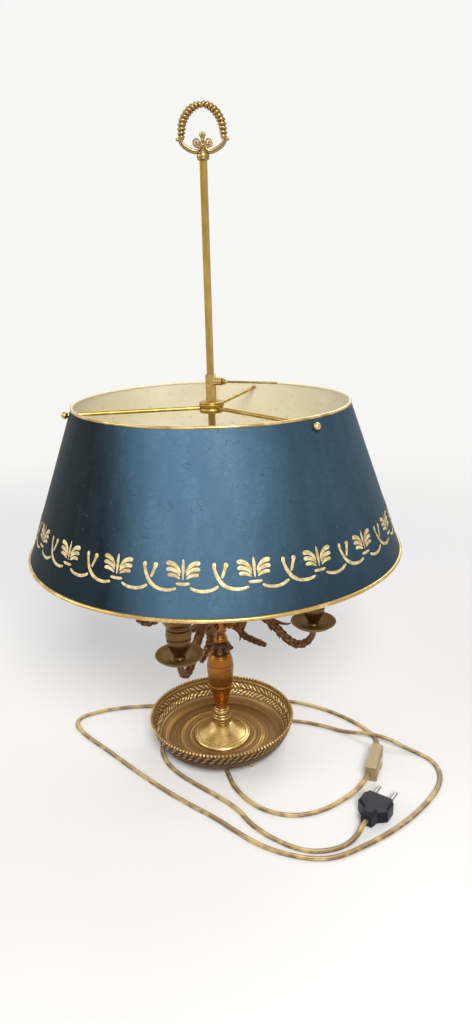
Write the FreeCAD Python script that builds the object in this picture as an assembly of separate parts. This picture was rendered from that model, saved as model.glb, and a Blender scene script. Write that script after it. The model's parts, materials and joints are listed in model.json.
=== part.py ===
"""Bouillotte lamp: gallery tray on ball feet, turned column, four scrolled arms with candle lights,
a square rod with a wreath finial, a tole shade that slides on the rod, and its cord.

Millimetres. The origin is on the table under the column's axis, +Z up. The arms lie along +X, +Y,
-X and -Y, and the arrow key that clamps the shade points along +X.
"""
import FreeCAD, Part
import math
import os

V = FreeCAD.Vector

# Driving dimensions: tray and feet
floor_under = 8.0
sheet = 1.2
foot_ball_r = 4.1
foot_centre_z = 3.7
foot_circle_r = 61.0
foot_angles = (-37.5, 82.5, 202.5)
foot_neck_r = 2.2
tray_floor_r = 62.0
tray_rim_r = 84.2
tray_rim_z = 36.4
rope_r = 1.8
rope_ring_r = 83.5
rope_z = 37.6
dome_top_z = 20.2
dome_r = 24.0

# Driving dimensions: column
pipe_r = 5.0
pipe_bore_r = 3.5
pipe_bottom_z = 11.5
pipe_top_z = 174.0
bell_top_z = 26.1
reel_top_z = 48.4
baluster_top_z = 118.7
knob_top_z = 134.0
hub_top_z = 172.0
rod_foot_z = 176.0
socket_top_z = 186.0
rod_side = 6.0
rod_top_z = 637.9

# Driving dimensions: arms and lights
arm_count = 4
peg_end = 24.0
peg_z = 156.0
arm_r = 4.6
spray_r = 3.0
light_circle_r = 110.6
pan_foot_z = 163.5
pan_seat_z = 170.0
pan_r = 24.5
pan_rim_z = 175.6
tube_foot_z = 191.0
tube_top_z = 262.0
tube_outer_r = 11.2
tube_inner_r = 10.1
cap_r = 6.9
bulb_r = 17.5
bulb_top_z = 339.0

# Driving dimensions: shade and carrier
shade_top_r = 143.2
shade_top_z = 411.6
shade_low_r = 195.4
shade_low_z = 264.5
shade_edge_r = 198.8
shade_edge_z = 256.6
shade_wall = 0.8
top_bead_r = 1.5
low_bead_r = 2.0
sleeve_side = 8.4
sleeve_bore = 6.2
sleeve_low_z = 399.7
sleeve_top_z = 438.9
spider_hub_r = 12.7
spider_hub_height = 11.4
spider_rod_r = 2.0
spider_rod_z = 404.6
spider_angles = (90.0, 210.0, 330.0)
knob_ball_r = 3.7
boss_r = 3.95
boss_length = 8.5
key_z = 431.5
key_thread_r = 1.9
key_gap = 0.1
key_shaft_r = 1.2
key_reach = 59.0
feather_length = 24.0

# Driving dimensions: wreath
wreath_turn = 21.4
horn_r = 3.5
scroll_r = 1.7

# Driving dimensions: cord, switch and plug
cord_r = 1.9
switch_low = V(176.0, -22.0, 0.0)
switch_high = V(189.0, 23.5, 17.0)
switch_split_x = 182.0
rocker_pivot = V(184.6, 0.75, 8.5)
rocker_rest_turn = -6.0
plug_rear = V(189.5, -95.0, 9.0)
plug_azimuth = 75.0
plug_thick = 18.0
pin_r = 2.0
pin_length = 19.0
pin_neck_r = 1.6
pin_neck_gap = 0.5
pin_depth = 8.0
pin_spacing = 18.6

# Route of the cord from the bushing under the tray to the switch
route_to_switch = [
    (0, 0, 11.5), (0, 0, 1.9), (5, -11, 1.9), (13.5, -32, 1.9), (25.5, -56, 1.9), (47, -85, 1.9),
    (79, -104, 1.9), (114, -105, 1.9), (142, -88, 1.9), (161, -62, 1.9), (172, -44, 3.6),
    (178.2, -31, 7.4), (180, -19, 8.5),
]
# Route from the switch round behind the tray, the wide loop, under the tray and out to the plug
route_to_plug = [
    (180, 20.5, 8.5), (180.3, 32, 7.2), (179, 45, 3.0), (174, 58, 1.9), (163, 69, 1.9),
    (145, 81, 1.9), (119, 93, 1.9), (88, 101.5, 1.9), (57, 103, 1.9), (27, 98, 1.9),
    (-3, 89, 1.9), (-31, 77, 1.9), (-58, 64.5, 1.9), (-85, 49.5, 1.9), (-112, 39.5, 1.9),
    (-138, 29, 1.9), (-162.5, 15, 1.9), (-180.5, -1, 1.9), (-189, -13.5, 1.9), (-186.5, -26, 1.9),
    (-173, -38, 1.9), (-152.5, -49, 1.9), (-119.5, -64, 1.9), (-82.5, -82.5, 1.9),
    (-38, -103, 1.9), (2, -118.5, 1.9), (39, -130, 1.9), (64, -141, 1.9), (90, -151.5, 1.9),
    (118, -156.5, 1.9), (150, -154.5, 1.9), (172.5, -144, 1.9), (190.5, -125, 1.9),
    (204.5, -109, 1.9), (218, -91, 1.9), (233, -66.5, 1.9), (246.5, -37, 1.9), (254.5, -11, 1.9),
    (254.5, 12.5, 1.9), (245, 31, 1.9), (228, 41, 1.9), (211, 44, 4.6), (193, 46.5, 10.4),
    (167, 51, 10.4), (149, 55, 4.6), (132, 57.5, 1.9), (111, 61.5, 1.9), (90, 63, 1.9),
    (67, 60.5, 1.9), (43, 52.5, 1.9), (18, 41.5, 1.9), (-9, 28.5, 1.9), (-34, 13.5, 1.9),
    (-54, -1, 1.9), (-65, -16, 1.9), (-65.5, -33, 1.9), (-57.5, -48.5, 1.9), (-45.5, -63, 1.9),
    (-27.5, -75.5, 1.9), (-3, -86.5, 1.9), (26.5, -97.2, 1.9), (46.5, -105.5, 1.9),
    (61.5, -114, 1.9), (76, -126.5, 1.9), (95, -136.5, 1.9), (113.5, -142.5, 1.9),
    (128, -145.5, 1.9), (143, -145.5, 1.9), (157, -141, 1.9), (168, -134, 1.9), (177.5, -124.5, 1.9),
    (184, -113, 4.2), (187.2, -103, 8.2), (189.5, -95, 9.0),
]

os.makedirs("parts", exist_ok=True)


def save(name, shape):
    """Write one piece and say its volume."""
    shape.exportStep("parts/" + name + ".step")
    print(name, "solids", len(shape.Solids), "valid", shape.isValid(), "mm3", round(shape.Volume, 1))


def smooth(points):
    """A smooth curve through (r, z) points."""
    curve = Part.BSplineCurve()
    curve.interpolate([V(r, 0, z) for r, z in points])
    return curve.toShape()


def straight(points):
    """Straight edges through (r, z) points."""
    places = [V(r, 0, z) for r, z in points]
    return [Part.LineSegment(a, b).toShape() for a, b in zip(places, places[1:])]


def bent(start, middle, end):
    """A round edge through three (r, z) points."""
    return Part.Arc(V(start[0], 0, start[1]), V(middle[0], 0, middle[1]), V(end[0], 0, end[1])).toShape()


def turn(edges):
    """The solid of revolution about Z of a closed outline."""
    face = Part.Face(Part.Wire(Part.__sortEdges__(edges)))
    return face.revolve(V(0, 0, 0), V(0, 0, 1), 360)


def turned(outside, bore_r=0.0):
    """A turned piece: a smooth outside, flat ends and a straight bore."""
    low = outside[0]
    high = outside[-1]
    ends = straight([high, (bore_r, high[1]), (bore_r, low[1]), low])
    return turn([smooth(outside)] + ends)


def stepped(outline):
    """A turned piece from straight lines only, closed back to its first point."""
    return turn(straight(outline + [outline[0]]))


def spun(shape, angle):
    """A copy turned about the lamp's axis, in degrees."""
    copy = shape.copy()
    copy.rotate(V(0, 0, 0), V(0, 0, 1), angle)
    return copy


def moved(shape, x, y, z):
    """A copy moved by a step."""
    copy = shape.copy()
    copy.translate(V(x, y, z))
    return copy


def square_bar(side, low_z, high_z):
    """An upright square bar on the lamp's axis."""
    return Part.makeBox(side, side, high_z - low_z, V(-side / 2, -side / 2, low_z))


def round_path(points, show=""):
    """Straight runs joined by tangent arcs, each as large as its two runs allow."""
    places = [V(*p) for p in points]
    edges = []
    here = places[0]
    radii = []
    for before, corner, after in zip(places, places[1:], places[2:]):
        back = (before - corner)
        ahead = (after - corner)
        short = min(back.Length, ahead.Length)
        half_turn = (math.pi - back.getAngle(ahead)) / 2
        trim = 0.45 * short
        radius = trim / math.tan(half_turn)
        radii.append(radius)
        back.normalize()
        ahead.normalize()
        start = corner + back * trim
        end = corner + ahead * trim
        inward = back + ahead
        inward.normalize()
        centre = corner + inward * (radius / math.cos(half_turn))
        middle = centre - inward * radius
        edges.append(Part.LineSegment(here, start).toShape())
        edges.append(Part.Arc(start, middle, end).toShape())
        here = end
    edges.append(Part.LineSegment(here, places[-1]).toShape())
    path = Part.Wire(edges)
    if show:
        print(show, "length", round(path.Length, 1), "radii", [round(r, 1) for r in radii])
    return path


def tube(points, radius, show=""):
    """A round bar along a route."""
    path = round_path(points, show)
    ahead = V(*points[1]) - V(*points[0])
    ring = Part.Wire(Part.makeCircle(radius, V(*points[0]), ahead))
    body = path.makePipeShell([ring], True, False)
    if show:
        print(show, "volume ratio", round(body.Volume / (path.Length * math.pi * radius ** 2), 4))
    return body


def blade(outline, half_width):
    """A flat leaf in the XZ plane from (x, z) points, with its width along Y."""
    places = [V(x, -half_width, z) for x, z in outline]
    face = Part.Face(Part.makePolygon(places + [places[0]]))
    return face.extrude(V(0, 2 * half_width, 0))


def make_tray():
    """The tray: a flat floor drawn up in the middle, and a wall that flares to the rim."""
    floor_top = floor_under + sheet
    wall_low_out = (66.0, floor_under + 0.4)
    wall_low_in = (66.0, floor_top + 0.5)
    wall_top_out = (tray_rim_r, tray_rim_z)
    wall_top_in = (tray_rim_r - 1.4, tray_rim_z)
    edges = straight([(pipe_r, dome_top_z), (pipe_r, dome_top_z - sheet), (12.0, dome_top_z - sheet),
                      (dome_r, floor_under), (tray_floor_r, floor_under), wall_low_out])
    edges.append(bent(wall_low_out, (78.2, 19.6), wall_top_out))
    edges += straight([wall_top_out, wall_top_in])
    edges.append(bent(wall_top_in, (76.6, 19.9), wall_low_in))
    edges += straight([wall_low_in, (tray_floor_r, floor_top), (dome_r, floor_top),
                       (12.0, dome_top_z), (pipe_r, dome_top_z)])
    return turn(edges)


tray = make_tray()
save("tray", tray)

rope = Part.makeTorus(rope_ring_r, rope_r, V(0, 0, rope_z))
save("tray_rope_rim", rope.cut(tray))


def make_foot(angle):
    """A ball foot cut flat where it stands, with a short neck to the tray."""
    x = foot_circle_r * math.cos(math.radians(angle))
    y = foot_circle_r * math.sin(math.radians(angle))
    ball = Part.makeSphere(foot_ball_r, V(x, y, foot_centre_z))
    neck = Part.makeCylinder(foot_neck_r, floor_under - foot_centre_z, V(x, y, foot_centre_z))
    above = Part.makeCylinder(foot_ball_r * 2, floor_under, V(x, y, 0))
    return ball.fuse(neck).common(above)


save("ball_feet", Part.makeCompound([make_foot(a) for a in foot_angles]))

bell_bore = pipe_r
bell_outside = smooth([(34.2, 10.2), (32.6, 11.9), (29.0, 13.4), (24.0, 16.0), (19.0, 19.2), (15.0, 22.4),
                       (12.0, 24.7), (9.6, bell_top_z)])
bell_rest = straight([(9.6, bell_top_z), (bell_bore, bell_top_z), (bell_bore, dome_top_z),
                      (12.4, dome_top_z), (15.6, 19.4), (19.0, 16.6), (24.0, 13.4), (29.0, 11.0),
                      (31.6, 9.2), (34.2, 9.2), (34.2, 10.2)])
save("pedestal_bell", turn([bell_outside] + bell_rest))

washer_top = dome_top_z - sheet
washer_low = washer_top - 1.4
nut_low = washer_low - 4.2
save("base_washer", stepped([(pipe_r, washer_low), (11.5, washer_low), (11.5, washer_top),
                             (pipe_r, washer_top)]))
hexagon = [V(8.2 * math.cos(math.radians(60 * k)), 8.2 * math.sin(math.radians(60 * k)), nut_low)
           for k in range(7)]
nut = Part.Face(Part.makePolygon(hexagon)).extrude(V(0, 0, washer_low - nut_low))
save("base_nut", nut.cut(Part.makeCylinder(pipe_r, 10, V(0, 0, nut_low - 2))))
save("lamp_pipe", stepped([(pipe_bore_r, pipe_bottom_z), (pipe_r, pipe_bottom_z), (pipe_r, pipe_top_z),
                           (pipe_bore_r, pipe_top_z)]))
save("cord_bushing", stepped([(cord_r, 10.5), (6.6, 10.5), (6.6, nut_low), (pipe_r, nut_low),
                              (pipe_r, pipe_bottom_z), (cord_r, pipe_bottom_z)]))

save("neck_reel", turned([(9.6, bell_top_z), (11.6, 28.4), (11.9, 31.0), (12.1, 33.4), (10.7, 37.9),
                          (9.1, 43.1), (8.1, 45.6), (7.3, reel_top_z)], pipe_r))
save("baluster", turned([(7.3, reel_top_z), (8.0, 53.6), (10.3, 64.0), (12.9, 74.3), (14.0, 80.5),
                         (14.7, 87.6), (15.3, 94.7), (15.6, 101.8), (14.8, 109.8), (13.1, 115.8),
                         (10.9, baluster_top_z)], pipe_r))
save("leaf_knob", turned([(9.6, baluster_top_z), (12.0, 121.0), (13.0, 124.5), (12.8, 128.4),
                          (11.0, 131.6), (8.4, knob_top_z)], pipe_r))


def make_peg():
    """A ringed peg along +X, from the hub to the root of an arm."""
    outline = [(6.5, 0), (6.5, 3.6), (12.0, 3.6), (12.0, 4.6), (14.5, 4.6), (14.5, 3.4), (17.0, 3.4),
               (17.0, 4.8), (20.0, 4.8), (20.0, 3.8), (peg_end, 3.8), (peg_end, 0)]
    places = [V(x, 0, r) for x, r in outline]
    face = Part.Face(Part.makePolygon(places + [places[0]]))
    peg = face.revolve(V(0, 0, 0), V(1, 0, 0), 360)
    return moved(peg, 0, 0, peg_z)


hub = turned([(8.4, knob_top_z), (9.6, 136.2), (9.0, 139.2), (7.4, 142.4), (7.6, 145.0), (8.8, 148.0),
              (8.8, 156.0), (8.8, 165.0), (8.2, 168.0), (9.4, 170.4), (9.4, hub_top_z)])
hub = hub.fuse([spun(make_peg(), 360.0 / arm_count * k) for k in range(arm_count)])
save("arm_hub", hub.cut(Part.makeCylinder(pipe_r, 60, V(0, 0, knob_top_z - 5))))

socket = turned([(9.2, hub_top_z), (9.6, 174.0), (7.8, 177.0), (6.4, 182.0), (6.6, socket_top_z)])
socket = socket.cut(Part.makeCylinder(pipe_r, pipe_top_z - hub_top_z, V(0, 0, hub_top_z)))
save("rod_socket", socket.cut(square_bar(rod_side, rod_foot_z, socket_top_z + 1)))
save("stem_rod", square_bar(rod_side, rod_foot_z, rod_top_z))

arm_line = [(27.0, 0, 158.0), (30.0, 0, 168.0), (36.0, 0, 175.0), (45.5, 0, 177.0), (55.5, 0, 172.0),
            (66.0, 0, 163.0), (76.0, 0, 153.5), (85.5, 0, 146.0), (95.0, 0, 144.0), (103.5, 0, 148.5),
            (109.0, 0, 156.0), (110.8, 0, 166.0)]
spray_line = [(27.0, 0, 156.0), (27.2, 0, 148.5), (32.5, 0, 144.0), (41.0, 0, 141.0), (49.5, 0, 138.6),
              (57.0, 0, 136.4)]


def make_arm():
    """One scrolled arm along +X: root, strand, a lifted leaf, and a hanging spray with its spike."""
    root = Part.makeSphere(6.6, V(27.5, 0, 157.5))
    strand = tube(arm_line, arm_r)
    spray = tube(spray_line, spray_r)
    spike = Part.makeCone(2.6, 0.6, 14.0, V(27.2, 0, 148.5), V(-0.2, 0, -1))
    leaf = blade([(57.0, 173.0), (66.0, 171.0), (76.0, 168.0), (85.3, 168.6), (78.0, 164.5),
                  (70.0, 160.0), (58.0, 167.0)], 3.4)
    arm = root.fuse([strand, spray, spike, leaf])
    arm = arm.cut(Part.makeBox(20, 40, 80, V(peg_end - 20, -20, 120)))
    return arm.cut(Part.makeBox(20, 20, 10, V(light_circle_r - 10, -10, pan_foot_z)))


def make_pan():
    """A drip pan: a short foot under a shallow dish."""
    edges = straight([(0, pan_foot_z), (5.6, pan_foot_z), (5.0, 166.4), (9.0, 167.6)])
    edges.append(bent((9.0, 167.6), (18.4, 170.2), (pan_r, pan_rim_z - 0.8)))
    edges += straight([(pan_r, pan_rim_z - 0.8), (pan_r, pan_rim_z), (pan_r - 0.8, pan_rim_z)])
    edges.append(bent((pan_r - 0.8, pan_rim_z), (17.6, 171.6), (8.0, pan_seat_z)))
    edges += straight([(8.0, pan_seat_z), (0, pan_seat_z), (0, pan_foot_z)])
    return turn(edges)


def make_cup():
    """A candle cup: an urn on a ringed foot with a flared lip, bored for the candle tube."""
    s = pan_seat_z
    edges = [smooth([(6.0, s), (6.4, s + 1.2), (5.6, s + 3.6), (7.4, s + 7.0), (10.0, s + 12.0),
                     (12.0, s + 18.0), (12.9, s + 24.0), (13.2, s + 28.0), (12.4, s + 32.6),
                     (12.0, s + 35.0), (13.6, s + 38.4), (16.4, s + 43.0), (18.4, s + 48.0)])]
    lip = s + 50.6
    edges += straight([(18.4, s + 48.0), (18.8, s + 49.8), (18.2, lip), (16.6, lip),
                       (tube_outer_r, s + 41.0), (tube_outer_r, tube_foot_z), (3.0, tube_foot_z),
                       (3.0, s + 4.0), (0, s + 4.0), (0, s), (6.0, s)])
    return turn(edges)


def make_candle_tube():
    """The candle tube that hides the lamp holder."""
    return stepped([(tube_inner_r, tube_foot_z), (tube_outer_r, tube_foot_z), (tube_outer_r, tube_top_z),
                    (tube_inner_r, tube_top_z)])


def make_holder():
    """The lamp holder on its nipple, inside the candle tube."""
    low = pan_seat_z + 4.0
    return stepped([(0, low), (3.0, low), (3.0, 214.0), (tube_inner_r - 0.2, 214.0),
                    (tube_inner_r - 0.2, 258.0), (cap_r + 0.4, 258.0), (cap_r + 0.4, 233.5), (0, 233.5)])


def make_cap():
    """The bulb's metal cap, standing on the holder's contact."""
    return stepped([(0, 233.5), (2.5, 233.5), (cap_r, 237.0), (cap_r, 262.0), (0, 262.0)])


def make_bulb():
    """The candle bulb's glass, a thin shell open at the cap."""
    outside = smooth([(cap_r, 262.0), (10.4, 267.0), (15.4, 276.0), (bulb_r, 288.0), (16.4, 301.0),
                      (12.2, 316.0), (6.6, 330.0), (2.0, bulb_top_z - 0.6)])
    inside = smooth([(cap_r - 0.9, 262.0), (9.6, 267.6), (14.6, 276.4), (bulb_r - 0.8, 288.0),
                     (15.6, 301.0), (11.4, 315.8), (5.8, 329.6), (1.6, bulb_top_z - 1.8)])
    caps = straight([(2.0, bulb_top_z - 0.6), (0, bulb_top_z)])
    caps += straight([(0, bulb_top_z), (0, bulb_top_z - 1.4), (1.6, bulb_top_z - 1.8)])
    caps += straight([(cap_r - 0.9, 262.0), (cap_r, 262.0)])
    return turn([outside, inside] + caps)


arm = make_arm()
cap = moved(make_cap(), light_circle_r, 0, 0)
light_pieces = {"drip_pan": make_pan(), "candle_cup": make_cup(), "candle_tube": make_candle_tube(),
                "lamp_holder": make_holder(), "bulb_glass": make_bulb()}
arm_angles = [360.0 / arm_count * k for k in range(arm_count)]
for k, angle in enumerate(arm_angles):
    number = "_" + str(k + 1)
    save("arm" + number, spun(arm, angle))
    for name, shape in light_pieces.items():
        save(name + number, spun(moved(shape, light_circle_r, 0, 0), angle))
save("bulb_caps", Part.makeCompound([spun(cap, angle) for angle in arm_angles]))


def shade_radius(z):
    """The shade's outer radius at a height on its straight part."""
    rise = (shade_top_z - z) / (shade_top_z - shade_low_z)
    return shade_top_r + (shade_low_r - shade_top_r) * rise


# The spider: hub, three rods through the shade's wall, and a ball knob on each
knob_centre = shade_radius(spider_rod_z) + knob_ball_r + 0.2
hub_top = sleeve_low_z + spider_hub_height
spider_hub = stepped([(0, sleeve_low_z), (spider_hub_r, sleeve_low_z), (spider_hub_r, hub_top),
                      (0, hub_top)])
save("spider_hub", spider_hub.cut(square_bar(sleeve_side, sleeve_low_z - 1, hub_top + 1)))


def spoke(inner, outer, radius, angle):
    """A round rod square to the lamp's axis, between two distances from it."""
    rod = Part.makeCylinder(radius, outer - inner, V(inner, 0, spider_rod_z), V(1, 0, 0))
    return spun(rod, angle)


knobs = []
for number, angle in enumerate(spider_angles):
    rod = spoke(spider_hub_r - 1.0, knob_centre, spider_rod_r, angle)
    save("spider_rod_" + str(number + 1), rod.cut(spider_hub))
    ball = spun(Part.makeSphere(knob_ball_r, V(knob_centre, 0, spider_rod_z)), angle)
    knobs.append(ball.cut(rod))

shade = turn(straight([(shade_top_r, shade_top_z), (shade_low_r, shade_low_z),
                       (shade_edge_r, shade_edge_z), (shade_edge_r - shade_wall, shade_edge_z),
                       (shade_low_r - shade_wall, shade_low_z), (shade_top_r - shade_wall, shade_top_z),
                       (shade_top_r, shade_top_z)]))
top_bead = Part.makeTorus(shade_top_r - shade_wall / 2, top_bead_r, V(0, 0, shade_top_z))
low_bead = Part.makeTorus(shade_edge_r - shade_wall / 2, low_bead_r, V(0, 0, shade_edge_z + 0.4))
save("shade_top_rim", top_bead)
save("shade_bottom_rim", low_bead)
rod_holes = [spoke(shade_top_r - 8, shade_top_r + 8, spider_rod_r, angle) for angle in spider_angles]
shade = shade.cut(rod_holes + [top_bead, low_bead])
save("shade_body", shade)
save("spider_knobs", Part.makeCompound([k.cut(shade) for k in knobs]))

# The carrier: a square sleeve on the rod with a screw boss, and the arrow key
sleeve = square_bar(sleeve_side, sleeve_low_z, sleeve_top_z)
boss = Part.makeCylinder(boss_r, boss_length + 1, V(sleeve_side / 2 - 1, 0, key_z), V(1, 0, 0))
sleeve = sleeve.fuse(boss).cut(square_bar(sleeve_bore, sleeve_low_z - 1, sleeve_top_z + 1))
save("carrier_sleeve", sleeve.cut(Part.makeCylinder(2.0, 20, V(0, 0, key_z), V(1, 0, 0))))


def make_key():
    """The arrow key: a thread in the boss, a thin shaft and a flat notched feather."""
    tip_x = rod_side / 2 + key_gap
    boss_end = sleeve_side / 2 + boss_length
    end_x = boss_end + key_reach
    thread = Part.makeCylinder(key_thread_r, boss_end + 1.0 - tip_x, V(tip_x, 0, key_z), V(1, 0, 0))
    shaft = Part.makeCylinder(key_shaft_r, end_x - boss_end - 4, V(boss_end, 0, key_z), V(1, 0, 0))
    near_x = end_x - feather_length
    notch = feather_length / 6
    edge = [(near_x, 0.6)]
    for k in range(5):
        edge.append((near_x + notch * k + 4.6, 3.9))
        edge.append((near_x + notch * k + 3.4, 2.7))
    edge.append((end_x, 3.9))
    edge.append((end_x - 3.4, 0.0))
    outline = edge + [(x, -y) for x, y in reversed(edge[:-1])]
    places = [V(x, y, key_z - 0.7) for x, y in outline]
    feather = Part.Face(Part.makePolygon(places + [places[0]])).extrude(V(0, 0, 1.4))
    return thread.fuse([shaft, feather])


save("arrow_key", make_key())

# The finial: a turned collar on the rod, and the wreath
collar = turned([(3.4, rod_top_z), (5.6, 639.3), (6.1, 641.2), (5.9, 643.4), (5.0, 645.2), (4.3, 646.2),
                 (3.2, 648.2), (1.6, 650.4)])
save("finial_collar", collar)
horn_line = [(18.6, 0, 655.5), (19.4, 0, 663.0), (17.9, 0, 671.5), (13.0, 0, 679.3), (6.6, 0, 684.0),
             (-0.6, 0, 686.4)]
scroll_line = [(22.4, 0, 657.4), (19.0, 0, 652.6), (14.6, 0, 648.8), (9.6, 0, 646.2), (5.6, 0, 646.0),
               (2.6, 0, 648.6), (1.7, 0, 652.2)]


def make_half_wreath():
    """The +X half: a fat horn, the scroll below it, its ball, the volute and half the flower."""
    horn = tube(horn_line, horn_r)
    horn_end = Part.makeSphere(horn_r, V(*horn_line[0]))
    scroll = tube(scroll_line, scroll_r)
    ball = Part.makeSphere(2.1, V(24.2, 0, 657.6))
    volute = Part.makeCylinder(3.9, 3.2, V(5.2, -1.6, 652.6), V(0, 1, 0))
    flower = blade([(-0.2, 651.5), (2.6, 652.5), (4.2, 656.6), (3.9, 660.0), (1.6, 661.0), (-0.2, 664.0)], 1.4)
    return horn.fuse([horn_end, scroll, ball, volute, flower])


right_half = make_half_wreath()
left_half = right_half.mirror(V(0, 0, 0), V(1, 0, 0))
wreath = spun(right_half.fuse(left_half), wreath_turn).cut(collar)
print("wreath pieces", [round(solid.Volume, 2) for solid in wreath.Solids])
save("wreath", wreath)


def make_switch():
    """The switch lies on its side: base half, cover half with a slot, screws, and the rocker."""
    low = switch_low
    high = switch_high
    wide = switch_split_x - low.x
    base = Part.makeBox(wide, high.y - low.y, high.z, low)
    cover = Part.makeBox(high.x - switch_split_x, high.y - low.y, high.z, V(switch_split_x, low.y, 0))
    ends = [edge for edge in cover.Edges if abs(edge.Vertexes[0].X - high.x) < 0.01
            and abs(edge.Vertexes[-1].X - high.x) < 0.01]
    cover = cover.makeFillet(2.4, ends)
    slot = Part.makeBox(high.x - 179.0, 17.2, 9.6, V(179.0, rocker_pivot.y - 8.6, rocker_pivot.z - 4.8))
    axle_hole = Part.makeCylinder(1.06, 12.6, V(rocker_pivot.x, rocker_pivot.y, rocker_pivot.z - 6.3))
    entry_y = (low.y - 1.5, high.y - 4.5)
    entries = [Part.makeCylinder(cord_r, 6, V(180.0, y, 8.5), V(0, 1, 0)) for y in entry_y]
    screws = []
    for y in (low.y + 7.5, high.y - 7.5):
        head = Part.makeCylinder(2.4, 1.4, V(low.x, y, 12.8), V(1, 0, 0))
        shank = Part.makeCylinder(1.2, 8.6, V(low.x + 1.4, y, 12.8), V(1, 0, 0))
        screws.append(head.fuse(shank))
    base = base.cut([slot] + entries + screws)
    cover = cover.cut([slot, axle_hole] + entries + screws)
    outline = [(-2.6, -2.4), (0.4, -7.3), (4.7, -7.3), (6.3, -3.2), (6.7, 0.0), (6.3, 3.2), (4.7, 7.3),
               (0.4, 7.3), (-2.6, 2.4)]
    p = rocker_pivot
    places = [V(p.x + x, p.y + y, p.z - 4.3) for x, y in outline]
    rocker = Part.Face(Part.makePolygon(places + [places[0]])).extrude(V(0, 0, 8.6))
    rocker = rocker.fuse(Part.makeCylinder(1.0, 12.0, V(p.x, p.y, p.z - 6.0)))
    rocker.rotate(p, V(0, 0, 1), rocker_rest_turn)
    return {"switch_base": base, "switch_cover": cover, "switch_screws": Part.makeCompound(screws),
            "switch_rocker": rocker}


for name, shape in make_switch().items():
    save(name, shape)


def make_plug():
    """The two-pin plug, lying flat: a faceted body that widens from the cord to the pins."""
    half = plug_thick / 2
    outline = [(0, 6.0), (9.0, 8.0), (16.0, 16.5), (30.0, 16.5), (36.0, 12.5)]
    places = [V(x, y, -half) for x, y in outline + [(x, -y) for x, y in reversed(outline)]]
    body = Part.Face(Part.makePolygon(places + [places[0]])).extrude(V(0, 0, plug_thick))
    flat_edges = [e for e in body.Edges if abs(e.Vertexes[0].Z - e.Vertexes[-1].Z) < 0.01]
    body = body.makeChamfer(2.6, flat_edges)
    pins = []
    face_x = outline[-1][0]
    for y in (-pin_spacing / 2, pin_spacing / 2):
        neck = Part.makeCylinder(pin_neck_r, pin_depth + pin_neck_gap, V(face_x - pin_depth, y, 0), V(1, 0, 0))
        shank = Part.makeCylinder(pin_r, pin_length - pin_neck_gap, V(face_x + pin_neck_gap, y, 0), V(1, 0, 0))
        tip = [e for e in shank.Edges if e.BoundBox.XMin > face_x + pin_length - 0.01]
        pins.append(neck.fuse(shank.makeChamfer(0.8, tip)))
    body = body.cut(pins)
    body = body.cut(Part.makeCylinder(cord_r, 4.0, V(0, 0, 0), V(1, 0, 0)))
    pair = Part.makeCompound(pins)
    for shape in (body, pair):
        shape.rotate(V(0, 0, 0), V(0, 0, 1), plug_azimuth)
        shape.translate(plug_rear)
    return body, pair


plug_body, plug_pins = make_plug()
save("plug_body", plug_body)
save("plug_pins", plug_pins)

save("cord_to_switch", tube(route_to_switch, cord_r, "cord_to_switch"))
save("cord_to_plug", tube(route_to_plug, cord_r, "cord_to_plug"))
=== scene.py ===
# %% [markdown]
# # A bouillotte lamp, dressed on its measured frame
# The lamp is already built to size: a gallery tray, a turned column, four candle arms, a square rod
# with a wreath, and a painted shade that slides on the rod. This lesson dresses those solids with
# worked-out surfaces and finishes. Lengths are written in millimetres and scaled once, at the mesh.

# %% Load the frame
import bpy
import json
import math
import numpy as np
from mathutils import Matrix, Vector

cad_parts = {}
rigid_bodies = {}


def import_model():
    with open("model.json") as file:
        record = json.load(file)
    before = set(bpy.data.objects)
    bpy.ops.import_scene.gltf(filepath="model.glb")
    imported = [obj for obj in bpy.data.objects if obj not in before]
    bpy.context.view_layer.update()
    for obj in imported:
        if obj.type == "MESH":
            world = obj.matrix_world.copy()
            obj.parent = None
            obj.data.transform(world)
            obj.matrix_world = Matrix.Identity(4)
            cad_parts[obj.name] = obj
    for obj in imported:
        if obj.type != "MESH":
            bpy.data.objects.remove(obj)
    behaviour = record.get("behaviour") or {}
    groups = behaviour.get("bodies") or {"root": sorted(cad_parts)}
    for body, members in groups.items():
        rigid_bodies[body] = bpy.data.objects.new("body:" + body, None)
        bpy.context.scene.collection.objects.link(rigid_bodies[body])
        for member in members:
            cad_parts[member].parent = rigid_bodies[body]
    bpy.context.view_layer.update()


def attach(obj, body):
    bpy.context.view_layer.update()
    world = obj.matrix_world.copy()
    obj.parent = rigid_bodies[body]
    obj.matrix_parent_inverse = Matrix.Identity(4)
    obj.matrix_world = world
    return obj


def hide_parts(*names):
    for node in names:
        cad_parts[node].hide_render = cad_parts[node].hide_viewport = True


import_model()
mm = 0.001

# %% [markdown]
# ## The camera
# The picture is taken from a little above the shade, looking down by about 18 degrees, from close by.
# A camera is three directions and a place, so its matrix can be filled in directly. The lamp's arms
# lie along the axes, and the picture looks 21.4 degrees round from them.

# %% Set the camera
view_turn = math.radians(21.4)
view_yaw = math.radians(1.720)
view_pitch = math.radians(17.891)
view_roll = math.radians(-1.396)
eye_distance = 758.93
eye_height = 534.29
focal_pixels = 731.634
picture_height = 1024
sensor_height = 36.0


def aim(heading, pitch, roll):
    """Three axes of a camera: its side, its top and its back, from compass heading, dip and roll."""
    ahead = np.array([math.sin(heading) * math.cos(pitch), math.cos(heading) * math.cos(pitch),
                      -math.sin(pitch)])
    right = np.array([math.cos(heading), -math.sin(heading), 0.0])
    up = np.cross(right, ahead)
    side = math.cos(roll) * right + math.sin(roll) * up
    top = -math.sin(roll) * right + math.cos(roll) * up
    return side, top, -ahead


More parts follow.
